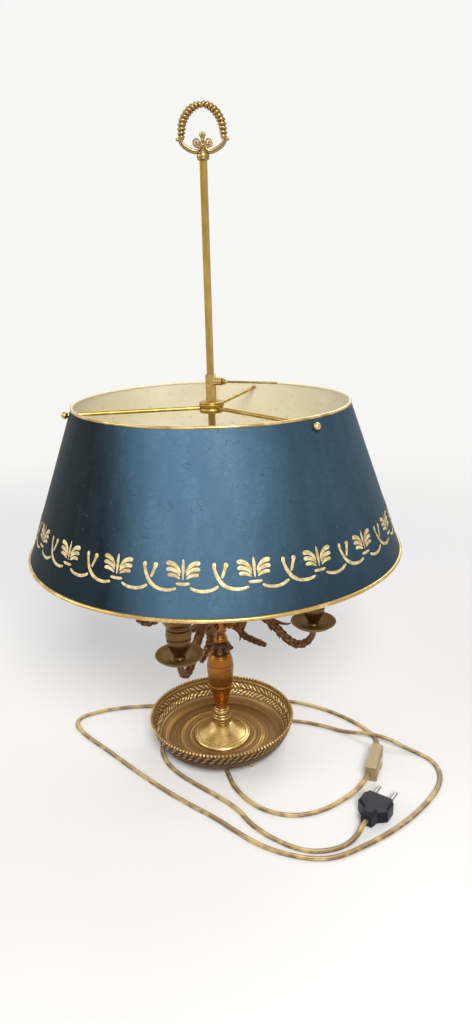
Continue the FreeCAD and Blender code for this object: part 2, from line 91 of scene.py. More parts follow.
camera_data = bpy.data.cameras.new("studio_camera")
camera_data.sensor_fit = "VERTICAL"
camera_data.sensor_height = sensor_height
camera_data.lens = focal_pixels / picture_height * sensor_height
camera_data.clip_start = 0.01
camera = bpy.data.objects.new("studio_camera", camera_data)
side, top, back = aim(view_yaw - view_turn, view_pitch, view_roll)
eye = np.array([eye_distance * math.sin(view_turn), -eye_distance * math.cos(view_turn),
                eye_height]) * mm
turned_and_placed = np.column_stack([side, top, back, eye])
camera.matrix_world = Matrix(turned_and_placed.tolist() + [[0, 0, 0, 1]])
bpy.context.scene.collection.objects.link(camera)
bpy.context.scene.camera = camera
bpy.context.scene.view_settings.view_transform = "Standard"
print("lens", round(camera_data.lens, 2), "mm")

# %% [markdown]
# ## Shader maths as plain expressions
# A material's pattern is arithmetic: a ring is a sine of a radius, wear is noise above a threshold.
# Wrapping a socket in a small class lets that arithmetic be written as Python, and each operator
# adds its own Math node. Every other node comes from one method, `node`, of the tree that is being
# filled, and a finish is such a tree with a shader at its end.

# %% A socket that does arithmetic


class Wire:
    """One output of a node. Adding, subtracting, multiplying or dividing wires adds Math nodes."""

    def __init__(self, nodes, socket):
        self.nodes = nodes
        self.socket = socket

    def maths(self, operation, *terms):
        values = {k: term for k, term in enumerate((self, *terms))}
        return self.nodes.node("ShaderNodeMath", {"operation": operation}, values)

    def __add__(self, other):
        return self.maths("ADD", other)

    def __sub__(self, other):
        return self.maths("SUBTRACT", other)

    def __mul__(self, other):
        return self.maths("MULTIPLY", other)

    def __truediv__(self, other):
        return self.maths("DIVIDE", other)

    def __rsub__(self, other):
        return (self * -1.0) + other

    __radd__ = __add__
    __rmul__ = __mul__

    def clamp(self):
        return self.maths("MAXIMUM", 0.0).maths("MINIMUM", 1.0)

    def sine(self):
        return self.maths("SINE")

    def ramp(self, low, high):
        """Nought below low, one above high, and a smooth rise between."""
        return self.nodes.node("ShaderNodeMapRange", {"interpolation_type": "SMOOTHSTEP"},
                                {"Value": self, "From Min": low, "From Max": high})


print("wires add, subtract, multiply, divide, clamp and ramp")

# %% A tree that is being filled


class Nodes:
    """A node tree being filled: it adds nodes, sets them up and links them."""

    def __init__(self, tree):
        self.tree = tree

    def plug(self, socket, value):
        """Link a wire to a socket, or write a value there; a colour of three numbers gets a fourth."""
        if isinstance(value, Wire):
            self.tree.links.new(value.socket, socket)
        elif isinstance(value, tuple) and len(value) == 3 and len(socket.default_value) == 4:
            socket.default_value = (*value, 1.0)
        else:
            socket.default_value = value

    def node(self, kind, settings=None, values=None, output=0):
        """Add a node, set its settings first and then its sockets, and hand back one output."""
        node = self.tree.nodes.new(kind)
        for word, setting in (settings or {}).items():
            setattr(node, word, setting)
        for key, value in (values or {}).items():
            self.plug(node.inputs[key], value)
        return Wire(self, node.outputs[output])

    def seen_by(self, *kinds):
        """1 for a ray of any of those kinds, such as Camera or Glossy, and 0 for every other ray."""
        rays = [self.node("ShaderNodeLightPath", output="Is " + kind + " Ray") for kind in kinds]
        return sum(rays[1:], rays[0]).clamp()

    def show(self, factor, first, second):
        """End the tree in two shaders: the first where the factor is 0, the second where it is 1."""
        both = self.node("ShaderNodeMixShader", values={0: factor, 1: first, 2: second})
        ends = [node for node in self.tree.nodes if node.type.startswith("OUTPUT")]
        self.plug(ends[0].inputs[0], both)


print("any other node comes from Nodes.node")

# %% A finish


class Finish(Nodes):
    """A material under construction: its nodes, its shader and where its patterns are read."""

    def __init__(self, name, **sockets):
        self.material = bpy.data.materials.new(name)
        self.material.use_nodes = True
        super().__init__(self.material.node_tree)
        self.shader = self.tree.nodes["Principled BSDF"]
        self.set(**sockets)

    def set(self, **sockets):
        """Write or link shader sockets: base_color=..., coat_weight=..., in lower case."""
        for word, value in sockets.items():
            title = word.replace("_", " ").title().replace("Ior", "IOR")
            self.plug(self.shader.inputs[title], value)

    def place(self):
        """Object coordinates: the patterns stay on the piece wherever it moves."""
        return self.node("ShaderNodeTexCoord", output=3)

    def part(self, name):
        """One part, X, Y or Z, of the object's own coordinates, in metres."""
        return self.node("ShaderNodeSeparateXYZ", values={0: self.place()}, output=name)

    def radius(self):
        """Distance from the lamp's axis, in millimetres."""
        x = self.part("X") * 1000.0
        y = self.part("Y") * 1000.0
        return (x * x + y * y).maths("SQRT")

    def mark(self, name):
        """A value that was stored on the mesh's points when it was made."""
        return self.node("ShaderNodeAttribute", {"attribute_name": name}, output=2)

    def noise(self, scale, detail=3.0, stretch=(1.0, 1.0, 1.0), roughness=0.55):
        """Cloudy noise, with scale in waves per metre, stretched along an axis by its scale."""
        spot = self.node("ShaderNodeMapping", values={"Vector": self.place(), "Scale": stretch})
        return self.node("ShaderNodeTexNoise", values={"Vector": spot, "Scale": scale, "Detail": detail,
                                                        "Roughness": roughness})

    def mix(self, factor, first, second):
        """Blend two colours by a factor."""
        colours = {0: factor, 6: first, 7: second}
        return self.node("ShaderNodeMix", {"data_type": "RGBA"}, colours, output=2)

    def relief(self, height, strength, depth):
        """Turn a height into a tilt of the surface, for a height of that many metres."""
        self.set(normal=self.node("ShaderNodeBump", values={"Strength": strength, "Distance": depth,
                                                             "Height": height}))

    def on(self, thing):
        """Put this finish on a piece or a carried-over solid."""
        thing.data.materials.clear()
        thing.data.materials.append(self.material)
        return thing


print("a finish writes its shader's sockets with Finish.set")

# %% [markdown]
# ## One way to make every surface
# Nearly everything on this lamp was turned, spun, cast along a curve or drawn through a die. Each of
# those is a grid of points: rows along the piece, columns round it. `skin` turns such a grid into a
# mesh in one go, closes its ends, and stores any value that a finish wants to read at the points.

# %% A skin from a grid of points
sharp_edge = math.radians(34)


def skin(name, grid, wrap=True, marks=None, loop=False):
    """A mesh from a grid (rows, columns, 3) in mm. wrap joins the last column to the first, and loop
    the last row to the first. A wrapped grid that doesn't loop has its first and last rows closed
    with a fan. Faces turn outwards when the rows go up and the columns go anticlockwise."""
    rows, columns = grid.shape[:2]
    points = grid.reshape(-1, 3)
    index = np.arange(rows * columns).reshape(rows, columns)
    down = np.vstack([index, index[:1]]) if loop else index
    across = np.hstack([down, down[:, :1]]) if wrap else down
    faces = np.stack([across[:-1, :-1], across[:-1, 1:], across[1:, 1:], across[1:, :-1]], -1)
    corners = faces.reshape(-1, 4)
    fans = []
    if wrap and not loop:
        hubs = np.array([grid[0].mean(0), grid[-1].mean(0)])
        points = np.vstack([points, hubs])
        first = len(points) - 2
        low = np.stack([np.full(columns, first), across[0, 1:], across[0, :-1]], -1)
        high = np.stack([np.full(columns, first + 1), across[-1, :-1], across[-1, 1:]], -1)
        fans = np.vstack([low, high]).tolist()
    mesh = bpy.data.meshes.new(name)
    mesh.from_pydata((points * mm).tolist(), [], corners.tolist() + fans)
    for title, values in (marks or {}).items():
        stored = np.zeros(len(points), np.float32)
        flat = np.broadcast_to(values, (rows, columns)).reshape(-1)
        stored[:len(flat)] = flat
        mesh.attributes.new(title, "FLOAT", "POINT").data.foreach_set("value", stored)
    return piece(name, mesh)


def piece(name, mesh):
    """A named object at the origin, smooth except over sharp edges."""
    mesh.validate()
    mesh.shade_smooth()
    mesh.set_sharp_from_angle(angle=sharp_edge)
    thing = bpy.data.objects.new(name, mesh)
    bpy.context.scene.collection.objects.link(thing)
    return thing


def join(name, things):
    """Several skins as one object, marks kept."""
    bpy.ops.object.select_all(action="DESELECT")
    for thing in things:
        thing.select_set(True)
    bpy.context.view_layer.objects.active = things[0]
    bpy.ops.object.join()
    things[0].name = name
    things[0].data.name = name
    return things[0]


def seat(thing, body, slot, *nodes):
    """Say which body a piece rides on, and hide the solids that it stands for. The finish slot is not
    used.
    """
    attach(thing, body)
    if nodes:
        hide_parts(*nodes)
    return thing


print("edges sharper than", round(math.degrees(sharp_edge)), "degrees stay sharp")

# %% Curves through listed points


def flow(points, steps=8):
    """A smooth curve through points: Catmull-Rom, which leaves each point along the line between its
    neighbours. A point given twice makes a corner."""
    p = np.asarray(points, float)
    ends = np.vstack([2 * p[0] - p[1], p, 2 * p[-1] - p[-2]])
    a, b, c, d = ends[:-3], ends[1:-2], ends[2:-1], ends[3:]
    t = (np.arange(steps) / steps)[None, :, None]
    a, b, c, d = (k[:, None, :] for k in (a, b, c, d))
    body = 0.5 * (2 * b + (c - a) * t + (2 * a - 5 * b + 4 * c - d) * t ** 2
                  + (3 * b - a - 3 * c + d) * t ** 3)
    line = np.vstack([body.reshape(-1, p.shape[1]), p[-1:]])
    keep = np.ones(len(line), bool)
    keep[1:] = np.linalg.norm(np.diff(line, axis=0), axis=1) > 1e-6
    return line[keep]


def along(line):
    """Distance along a line at each of its points."""
    return np.concatenate([[0.0], np.cumsum(np.linalg.norm(np.diff(line, axis=0), axis=1))])


def share(line):
    """Distance along a line as a share of its length: 0 at its start, 1 at its end."""
    return along(line) / along(line)[-1]


def directions(line):
    """The direction of a line at each of its points, one unit long."""
    step = np.gradient(line, axis=0)
    return step / np.linalg.norm(step, axis=1)[:, None]


def angles(columns):
    """That many angles, evenly round a circle, as one row."""
    return np.linspace(0, 2 * math.pi, columns, endpoint=False)[None, :]


print("helpers: flow, along, share, directions, angles")

# %% [markdown]
# ## The flex
# A flat twin flex: two stranded cores side by side in one clear gold-tinted sheath. It leaves the
# lamp under the tray, reaches the switch, and from there runs round behind the tray, in a wide loop
# about the lamp, back under the tray and out to its plug. Its line is a smooth spline whose control
# points are the places where the cord was laid by hand. The sheath is then drawn along that line.

# %% The places where the flex was laid, in metres
lay = 0.0019
route_to_switch = [
    (0, 0, 0.0115), (0, 0, lay), (0.005, -0.011, lay), (0.0135, -0.032, lay),
    (0.0255, -0.056, lay), (0.047, -0.085, lay), (0.079, -0.104, lay), (0.114, -0.105, lay),
    (0.142, -0.088, lay), (0.161, -0.062, lay), (0.172, -0.044, 0.0036), (0.1782, -0.031, 0.0074),
    (0.18, -0.019, 0.0085),
]
route_to_plug = [
    (0.18, 0.0205, 0.0085), (0.1803, 0.032, 0.0072), (0.179, 0.045, 0.003), (0.174, 0.058, lay),
    (0.163, 0.069, lay), (0.145, 0.081, lay), (0.119, 0.093, lay), (0.088, 0.1015, lay),
    (0.057, 0.103, lay), (0.027, 0.098, lay), (-0.003, 0.089, lay), (-0.031, 0.077, lay),
    (-0.058, 0.0645, lay), (-0.085, 0.0495, lay), (-0.112, 0.0395, lay), (-0.138, 0.029, lay),
    (-0.1625, 0.015, lay), (-0.1805, -0.001, lay), (-0.189, -0.0135, lay),
    (-0.1865, -0.026, lay), (-0.173, -0.038, lay), (-0.1525, -0.049, lay),
    (-0.1195, -0.064, lay), (-0.0825, -0.0825, lay), (-0.038, -0.103, lay),
    (0.002, -0.1185, lay), (0.039, -0.13, lay), (0.064, -0.141, lay), (0.09, -0.1515, lay),
    (0.118, -0.1565, lay), (0.15, -0.1545, lay), (0.1725, -0.144, lay), (0.1905, -0.125, lay),
    (0.2045, -0.109, lay), (0.218, -0.091, lay), (0.233, -0.0665, lay), (0.2465, -0.037, lay),
    (0.2545, -0.011, lay), (0.2545, 0.0125, lay), (0.245, 0.031, lay), (0.228, 0.041, lay),
    (0.211, 0.044, 0.0046), (0.193, 0.0465, 0.0104), (0.167, 0.051, 0.0104), (0.149, 0.055, 0.0046),
    (0.132, 0.0575, lay), (0.111, 0.0615, lay), (0.09, 0.063, lay), (0.067, 0.0605, lay),
    (0.043, 0.0525, lay), (0.018, 0.0415, lay), (-0.009, 0.0285, lay), (-0.034, 0.0135, lay),
    (-0.054, -0.001, lay), (-0.065, -0.016, lay), (-0.0655, -0.033, lay),
    (-0.0575, -0.0485, lay), (-0.0455, -0.063, lay), (-0.0275, -0.0755, lay),
    (-0.003, -0.0865, lay), (0.0265, -0.0972, lay), (0.0465, -0.1055, lay),
    (0.0615, -0.114, lay), (0.076, -0.1265, lay), (0.095, -0.1365, lay),
    (0.1135, -0.1425, lay), (0.128, -0.1455, lay), (0.143, -0.1455, lay),
    (0.157, -0.141, lay), (0.168, -0.134, lay), (0.1775, -0.1245, lay), (0.184, -0.113, 0.0042),
    (0.1872, -0.103, 0.0082), (0.1895, -0.095, 0.009),
]
print("route points:", len(route_to_switch), "and", len(route_to_plug))

# %% Lay the two stretches of flex
flex_width = 5.4
core_radius = 1.45
core_offset = flex_width / 2 - core_radius
sheath_columns = 20
least_level = 0.25


def spline_points(name, route):
    """The points of one smooth NURBS line whose control points are the route, in metres."""
    data = bpy.data.curves.new(name, "CURVE")
    data.dimensions = "3D"
    data.resolution_u = 8
    line = data.splines.new("NURBS")
    line.points.add(len(route) - 1)
    for point, place in zip(line.points, route):
        point.co = (*place, 1.0)
    line.order_u = 3
    line.use_endpoint_u = True
    holder = bpy.data.objects.new(name, data)
    bpy.context.scene.collection.objects.link(holder)
    mesh = bpy.data.meshes.new_from_object(holder)
    places = np.empty(len(mesh.vertices) * 3)
    mesh.vertices.foreach_get("co", places)
    bpy.data.objects.remove(holder)
    return places.reshape(-1, 3)


def level_sides(line):
    """For each point of a line, its tangent and a level side direction. Where the line stands so
    upright that its level part is under least_level, the side is that of the nearest point that has
    one."""
    tangent = directions(line)
    sideways = np.cross([0.0, 0.0, 1.0], tangent)
    size = np.linalg.norm(sideways, axis=1)
    good = np.flatnonzero(size > least_level)
    nearest = good[np.abs(np.arange(len(line))[:, None] - good[None, :]).argmin(1)]
    sideways = sideways[nearest] / size[nearest][:, None]
    return tangent, sideways


def flex(name, route):
    """The sheath: round two equal circles side by side, the distance out at an angle a is
    c |cos a| + sqrt(r^2 - c^2 sin^2 a). That outline is carried level along the spline. Marks tell
    the finish how far along a point is, its angle, and how near it is to the groove and to the top,
    which the finish uses to paint shade in the groove and a highlight along the top."""
    line = spline_points(name + "_line", route) / mm
    tangent, sideways = level_sides(line)
    lift = np.cross(tangent, sideways)
    angle = np.linspace(-math.pi / 2, 1.5 * math.pi, sheath_columns, endpoint=False)
    out = core_offset * np.abs(np.cos(angle)) + np.sqrt(core_radius ** 2
                                                        - (core_offset * np.sin(angle)) ** 2)
    grid = (line[:, None] + sideways[:, None] * (out * np.cos(angle))[None, :, None]
            + lift[:, None] * (out * np.sin(angle))[None, :, None])
    marks = {"far": along(line)[:, None], "turn": angle[None, :],
             "groove": 1 - np.abs(np.cos(angle))[None, :],
             "upper": np.clip(np.sin(angle), 0, 1)[None, :] ** 4}
    sheath = skin(name, grid[:, ::-1], marks={k: v[:, ::-1] for k, v in marks.items()})
    print(name, "is", round(along(line)[-1]), "mm long")
    return sheath, line * mm


flex_to_switch, line_to_switch = flex("flex_to_switch", route_to_switch)
flex_to_plug, line_to_plug = flex("flex_to_plug", route_to_plug)

# %% [markdown]
# The sheath is soft clear plastic over twisted copper, so it looks gold with fine slanting lines. It
# is paler where it is worn. Its sides and the groove between its cores are darkened with painted
# shade, and a painted highlight runs along its top.

# %% Gold flex finish
flex_gold = Finish("flex_gold", metallic=0.25, coat_roughness=0.25, ior=1.5)
strand = (flex_gold.mark("far") * 3.4 + flex_gold.mark("turn") * 2.0).sine() * 0.5 + 0.5
worn = flex_gold.noise(55, detail=2).ramp(0.42, 0.62)
# Painted light: the upper mark paints a highlight along the sheath's top and leaves its sides in painted
# shade, and the groove mark paints a shadow between the cores; the slanting strands and the worn patches
# are the flex's own.
sheath_wear_and_painted_light = (strand * 0.18 + worn * 0.42 + flex_gold.mark("upper") * 0.42
               - flex_gold.mark("groove").ramp(0.90, 0.99) * 0.12 - 0.05).clamp()
flex_gold.set(base_color=flex_gold.mix(sheath_wear_and_painted_light, (0.105, 0.050, 0.014), (0.78, 0.57, 0.24)),
              roughness=0.34 + worn * 0.14, coat_weight=0.45 + worn * 0.1)
flex_gold.relief(strand, 0.35, 0.00025)
for sheath in (flex_to_switch, flex_to_plug):
    flex_gold.on(sheath)
seat(flex_to_switch, "lamp", "flex", "cord_to_switch")
seat(flex_to_plug, "lamp", "flex", "cord_to_plug")
print("flex finish:", len(flex_gold.tree.nodes), "nodes")

# %% [markdown]
# ## Turned work and cast work
# A lathe gives a profile spun round an axis. A casting gives a section carried along a bent line.
# Both get their ornament the same way: a small height, worked out from where a point is, pushes the
# surface out along its normal, and the same height is kept as a mark so that the hollows can hold
# dark old wax.

# %% Spin a profile, carry a section


def turned(name, profile, columns=96, centre=(0.0, 0.0), ripple=None, loop=False, extra=None):
    """Surface of revolution: at distance s along the profile and angle a, the point is centre +
    r (cos a, sin a) at height z, pushed out along the profile's normal by ripple(s, a)."""
    s = along(profile)[:, None]
    a = angles(columns)
    tangent = directions(profile)
    push = np.zeros((len(profile), columns)) if ripple is None else ripple(s, a) + 0 * s * a
    r = profile[:, :1] + tangent[:, 1:] * push
    z = profile[:, 1:] - tangent[:, :1] * push
    grid = np.stack([centre[0] + r * np.cos(a), centre[1] + r * np.sin(a), z], -1)
    marks = {"hollow": depth_of(push), **(extra or {})}
    return skin(name, grid, loop=loop, marks=marks)


def depth_of(push):
    """How deep each point lies in the ornament: 0 on the highest parts, 1 in the deepest."""
    return (push.max() - push) / max(np.ptp(push), 0.02)


def carried(name, line, size, columns=24, heading=0.0, ripple=None, wide=1.0):
    """A ring of points carried along a line (u, z) in the upright plane that faces the heading: at
    angle a it stands size x (n cos a + w sin a) off the line, n being the line's right-hand normal
    in the plane and w the level direction across it, stretched by wide."""
    s = along(line)[:, None]
    a = angles(columns)
    tangent = directions(line)
    push = np.zeros((len(line), columns)) if ripple is None else ripple(s, a) + 0 * s * a
    out = np.asarray(size, float).reshape(-1, 1) + push
    u = line[:, :1] + tangent[:, 1:] * out * np.cos(a)
    z = line[:, 1:] - tangent[:, :1] * out * np.cos(a)
    w = wide * out * np.sin(a)
    x = u * math.cos(heading) - w * math.sin(heading)
    y = u * math.sin(heading) + w * math.cos(heading)
    return skin(name, np.stack([x, y, z], -1), marks={"hollow": depth_of(push)})


def lap(a):
    """An angle as a share of the whole circle."""
    return a / (2 * math.pi)


def wave(phase):
    """A rounded ridge that repeats: 0 in the groove and 1 on the crest, once per turn of phase."""
    return 0.5 - 0.5 * np.cos(2 * math.pi * phase)


def step_in(value, low, high):
    """Smooth rise from 0 at low to 1 at high."""
    t = np.clip((value - low) / (high - low), 0, 1)
    return t * t * (3 - 2 * t)


def zone(value, low, high, soft=1.0):
    """1 between low and high, 0 outside, with soft edges."""
    return step_in(value, low, low + soft) * (1 - step_in(value, high - soft, high))


def rings(places, width, depth):
    """Engraved lines, as a ripple: a dip of that depth at each place along the profile."""
    return lambda s, a: -depth * sum(np.exp(-((s - p) / width) ** 2) for p in places)


print("helpers: turned, carried, lap, wave, step_in, zone, rings")

# %% [markdown]
# ## Old brass
# The lamp is brass under a brown lacquer that has rubbed away on high spots. One recipe makes all of
# it: cloudy noise chooses between bright metal and brown lacquer, the hollow mark pulls towards dark
# wax, and fine noise and specks disturb the gloss. Two more marks can be painted on a piece: lacquer
# keeps it brown, and tinted rubs it to a third colour. The lacquer mark also paints shade on the
# tray's outer wall, and the tinted mark also paints a highlight on the tray's leaves and inner wall,
# the pans' reeds and the bell. Each finish only changes the colours.

# %% The brass recipe
cloud_waves = 38
fine_waves = 420
speck_waves = 900


def old_brass(name, bright, brown, dark, gloss=0.3, worn=0.5, grain=(1, 1, 1), grit=0.12,
              tint=(0.84, 0.62, 0.28)):
    """Bright where worn noise is high, brown elsewhere, dark in the hollows and in small specks. The
    mark "lacquer" keeps it brown and duller, which on the tray's outer wall is painted shade, and the
    mark "tinted" leads to the tint, which is rubbed metal, a warmer lacquer, and on the tray, the pans
    and the bell a painted highlight."""
    finish = Finish(name, metallic=0.9)
    cloud = finish.noise(cloud_waves, detail=4, stretch=grain)
    fine = finish.noise(fine_waves, detail=3, stretch=grain)
    speck = finish.noise(speck_waves, detail=1).ramp(0.66, 0.74)
    hollow = finish.mark("hollow")
    # The lacquer mark is a darker coat on the knob and painted shade on the tray's outer wall. The tinted
    # mark, carried by rubbed, is rubbed metal, a warmer lacquer on the baluster, and a painted highlight
    # on the tray, the pans and the bell.
    lacquer = finish.mark("lacquer")
    bare = (cloud * 0.7 + fine * 0.3 - hollow * 0.22).ramp(0.62 - worn * 0.3, 0.80 - worn * 0.3)
    wax = (hollow.ramp(0.40, 0.95) * 0.85 + speck * 0.35 + lacquer * 0.42).clamp()
    rubbed = (finish.mark("tinted") * (0.65 + fine * 0.5)).clamp()
    metal = finish.mix(rubbed, finish.mix(bare * (1.0 - lacquer * 0.75), brown, bright), tint)
    finish.set(base_color=finish.mix(wax, metal, dark), metallic=0.96 - wax * 0.45,
               roughness=gloss + fine * 0.12 + wax * 0.25 - bare * 0.06)
    finish.relief(fine * 0.6 + cloud * 0.4, grit, 0.0006)
    return finish


cast_brass = old_brass("cast_brass", (0.50, 0.29, 0.105), (0.19, 0.082, 0.030), (0.028, 0.012, 0.006),
                       gloss=0.26, worn=0.42)
spun_brass = old_brass("spun_brass", (0.56, 0.36, 0.125), (0.30, 0.165, 0.052), (0.050, 0.024, 0.009),
                       gloss=0.28, worn=0.5)
column_brass = old_brass("column_brass", (0.56, 0.30, 0.085), (0.30, 0.118, 0.021), (0.06, 0.022, 0.006),
                         gloss=0.20, worn=0.38, grit=0.04, tint=(0.66, 0.26, 0.035))
rod_brass = old_brass("rod_brass", (0.50, 0.335, 0.080), (0.34, 0.205, 0.040), (0.10, 0.055, 0.013),
                      gloss=0.30, worn=0.6, grain=(1, 1, 0.12))
rim_brass = old_brass("rim_brass", (0.74, 0.50, 0.19), (0.46, 0.285, 0.085), (0.09, 0.045, 0.015),
                      gloss=0.24, worn=0.7, grit=0.05)
pan_brass = old_brass("pan_brass", (0.36, 0.235, 0.105), (0.22, 0.135, 0.055), (0.060, 0.034, 0.014),
                      gloss=0.42, worn=0.35)
# A paler brass for the shade's bottom bead: its bright highlight is painted into its colour.
painted_highlight_brass = old_brass("painted_highlight_brass", (0.84, 0.62, 0.27), (0.52, 0.34, 0.11), (0.16, 0.09, 0.028),
                       gloss=0.24, worn=0.55, grit=0.05)
print("finishes so far:", len(bpy.data.materials))

# %% [markdown]
# ## The gallery tray
# A dish spun from sheet brass. Its wall is stamped: outside, slanted leaves under the rim; inside, a
# band of laurel with gaps between its leaves. Its floor has a raised ring and a twisted ring round
# the foot of the column. All of it is one closed profile, so the dish has real thickness. Its rim is
# a ring of wire that swells once per bead.

# %% Draw the tray's profile
wall_foot_r = 62.0
wall_top_z = 36.4
sheet_under_z = 8.0
sheet_over_z = 9.2
wall_steps = 14
outer_wall = flow([(wall_foot_r, sheet_under_z), (66, 8.4), (73.2, 13.0), (78.2, 19.6), (81.4, 26.6),
                   (84.2, wall_top_z)], wall_steps)
inner_wall = flow([(82.8, wall_top_z), (80.0, 27.2), (76.6, 19.9), (72.2, 13.8), (66, 9.7),
                   (wall_foot_r, sheet_over_z)], wall_steps)
floor_r = np.arange(61.5, 33.0, -0.5)
floor_line = np.stack([floor_r, np.full(len(floor_r), sheet_over_z)], -1)
under = np.array([(5.4, 19.0), (12, 19.0), (14, 17.2), (22, 9.8), (24, sheet_under_z),
                  (40, sheet_under_z), (55, sheet_under_z)])
over = np.array([(24, sheet_over_z), (22, 11.0), (14, 18.4), (12, 20.2), (5.4, 20.2)])
lip = [(83.9, 37.2), (83.1, 37.2)]
tray_profile = np.vstack([under, outer_wall, lip, inner_wall, floor_line, over])
rows_before_rim = len(under) + len(outer_wall)
rim_at = along(tray_profile)[rows_before_rim]
inner_end = along(tray_profile)[rows_before_rim + len(inner_wall) + 1]
floor_end = along(tray_profile)[-len(over) - 1]
print("tray profile:", len(tray_profile), "places,", round(along(tray_profile)[-1]), "mm along it")

# %% The tray's ornament
tray_leaves = 62
laurel_pairs = 46
foot_beads = 180
twist_ridges = 96
garland_top = 1.6
garland_row = 5.45
laurel_middle = rim_at + 15.0
laurel_reach = 8.0


def laurel(s, a):
    """Pairs of leaves that lean away from a middle line: each leaf is a ridge across the phase
    a x pairs + slant x distance from the middle line, narrow at both of its ends."""
    across = (s - laurel_middle) / laurel_reach
    wander = 0.22 * np.sin(7 * a) + 0.16 * np.sin(17 * a + 1) + 0.5 * (across > 0)
    phase = lap(a) * laurel_pairs * 2 - np.abs(across) * 1.25 + wander
    uneven = 0.7 + 0.3 * np.sin(31 * a + 9 * across)
    narrow = np.clip(1 - (2 * np.abs(np.abs(across) - 0.5)) ** 2.4, 0, 1)
    band = zone(s, laurel_middle - 8.5, laurel_middle + 8.5, 0.6)
    return uneven * wave(phase) ** 1.1 * narrow * band


def garland(down, a):
    """Two rows of narrow leaves that lie aslant, the lower row set half a leaf on."""
    rows_down = np.clip(down - garland_top, 0, 10.8) / garland_row
    row = np.floor(rows_down)
    inside_row = rows_down - row
    slant = lap(a) * tray_leaves + 0.5 * row + 0.85 * inside_row + 0.12 * np.sin(11 * a)
    return wave(slant) ** 1.6 * np.sin(math.pi * np.clip(inside_row, 0, 1)) ** 0.6


def garland_band(s):
    """Where the garland is: between two distances below the rim, on the outside."""
    return zone(rim_at - s, garland_top, 12.5, 1.2)


def floor_rings(s, a):
    """A flat ring with a line in it, a twisted ring round the foot, and two engraved lines."""
    r = wall_foot_r - (s - inner_end)
    ring = 0.55 * zone(r, 46.3, 51.6, 0.9) - 0.25 * zone(r, 47.2, 49.2, 0.9)
    strands = 0.55 + 0.45 * wave(lap(a) * twist_ridges + r / 4)
    twist = 0.5 * strands * zone(r, 37.4, 40.0, 1.2)
    lines = -0.35 * zone(r, 40.9, 42.1, 0.5) - 0.25 * zone(r, 55.8, 57.0, 0.5)
    on_floor = step_in(s, inner_end - 0.5, inner_end) * (1 - step_in(s, floor_end - 1, floor_end))
    return (ring + twist + lines) * on_floor


def tray_ornament(s, a):
    """Leaf band outside, laurel between two raised lines inside, beading at the wall's foot, rings
    on the floor."""
    down = rim_at - s
    leaves = (garland(down, a) - 0.4) * 0.9 * garland_band(s)
    edge_lines = -0.5 * zone(down, 0.4, 2.0, 0.5) - 0.4 * zone(down, 12.0, 13.5, 0.6)
    inside_leaves = (laurel(s, a) * 1.15 - 0.28) * zone(s, rim_at + 6.2, rim_at + 23.8, 0.8)
    line_pair = zone(s, rim_at + 4.6, rim_at + 6.0, 0.6) + zone(s, rim_at + 24.0, rim_at + 25.4, 0.6)
    beads = 0.35 * wave(lap(a) * foot_beads) * zone(s, inner_end - 6.5, inner_end - 4.5, 0.9)
    return leaves + edge_lines + inside_leaves + 0.3 * line_pair + beads + floor_rings(s, a)


print("tray:", tray_leaves, "leaves,", laurel_pairs, "laurel pairs")

# %% Spin the tray
tray_columns = 12 * tray_leaves
tray_s = along(tray_profile)[:, None]
tray_a = angles(tray_columns)
outside = step_in(rows_before_rim - np.arange(len(tray_profile)), 0, 6)[:, None]
outer_leaf = garland(rim_at - tray_s, tray_a) * garland_band(tray_s)
inner_wall_part = zone(tray_s, rim_at + 1.5, rim_at + 27, 1.5)
# Painted light: the tinted mark lights the outer leaves, the laurel and the inner wall as painted glints
# over real rubbing, and the lacquer mark darkens the outer wall between its leaves as painted shade.
rub_and_painted_glints = outer_leaf * 0.36 + laurel(tray_s, tray_a) * 0.80 + inner_wall_part * 0.30
tray_dish = turned("tray_dish", tray_profile, columns=tray_columns, ripple=tray_ornament, loop=True,
                   extra={"lacquer": outside * (1 - outer_leaf), "tinted": np.clip(rub_and_painted_glints, 0, 1)})
seat(tray_dish, "lamp", "aged_brass", "tray")
spun_brass.on(tray_dish)
print("tray dish:", len(tray_dish.data.polygons), "faces")

# %% Bead the tray's rim
bead_count = 128
bead_columns = 6
bead_gap = 0.68


def beaded_ring(name, ring_r, ring_z, wire_r):
    """A wire ring whose thickness swells once per bead: wire x (1 - gap + gap x ridge ^ 0.5). The
    rows go round the lamp and the columns round the wire."""
    turn = angles(bead_count * bead_columns).T
    a = angles(10)
    ridge = wave(lap(turn) * bead_count) ** 0.5
    thick = wire_r * (1 - bead_gap + bead_gap * ridge)
    r = ring_r + thick * np.cos(a)
    z = ring_z - thick * np.sin(a)
    grid = np.stack([r * np.cos(turn), r * np.sin(turn), z + 0 * turn], -1)
    return skin(name, grid[::-1, ::-1], loop=True, marks={"hollow": 1.5 - 1.5 * ridge[::-1]})


tray_beads = beaded_ring("tray_beads", 83.5, 37.6, 1.8)
seat(tray_beads, "lamp", "aged_brass", "tray_rope_rim")
rim_brass.on(tray_beads)
print("rim:", bead_count, "beads")

# %% [markdown]
# ## The column
# From the tray up: a bright bell, a reel with rings, a long baluster with engraved lines, a knob of
# acanthus leaves, and the hub that holds the arms. Each is one turned profile with fine rings added;
# the knob's leaves are ridges that overlap like scales.

# %% The column's parts
pipe_r = 4.0
tray_boss_z = 9.2
bell_top_z = 26.1
reel_top_z = 48.4
vase_top_z = 118.7
knob_top_z = 134.0
hub_top_z = 172.0
knob_leaves = 8


def bored(line, low_r=pipe_r, high_r=pipe_r):
    """A profile with flat ends that reach in to the pipe's bore."""
    return np.vstack([[(low_r, line[0, 1])], line, [(high_r, line[-1, 1])]])


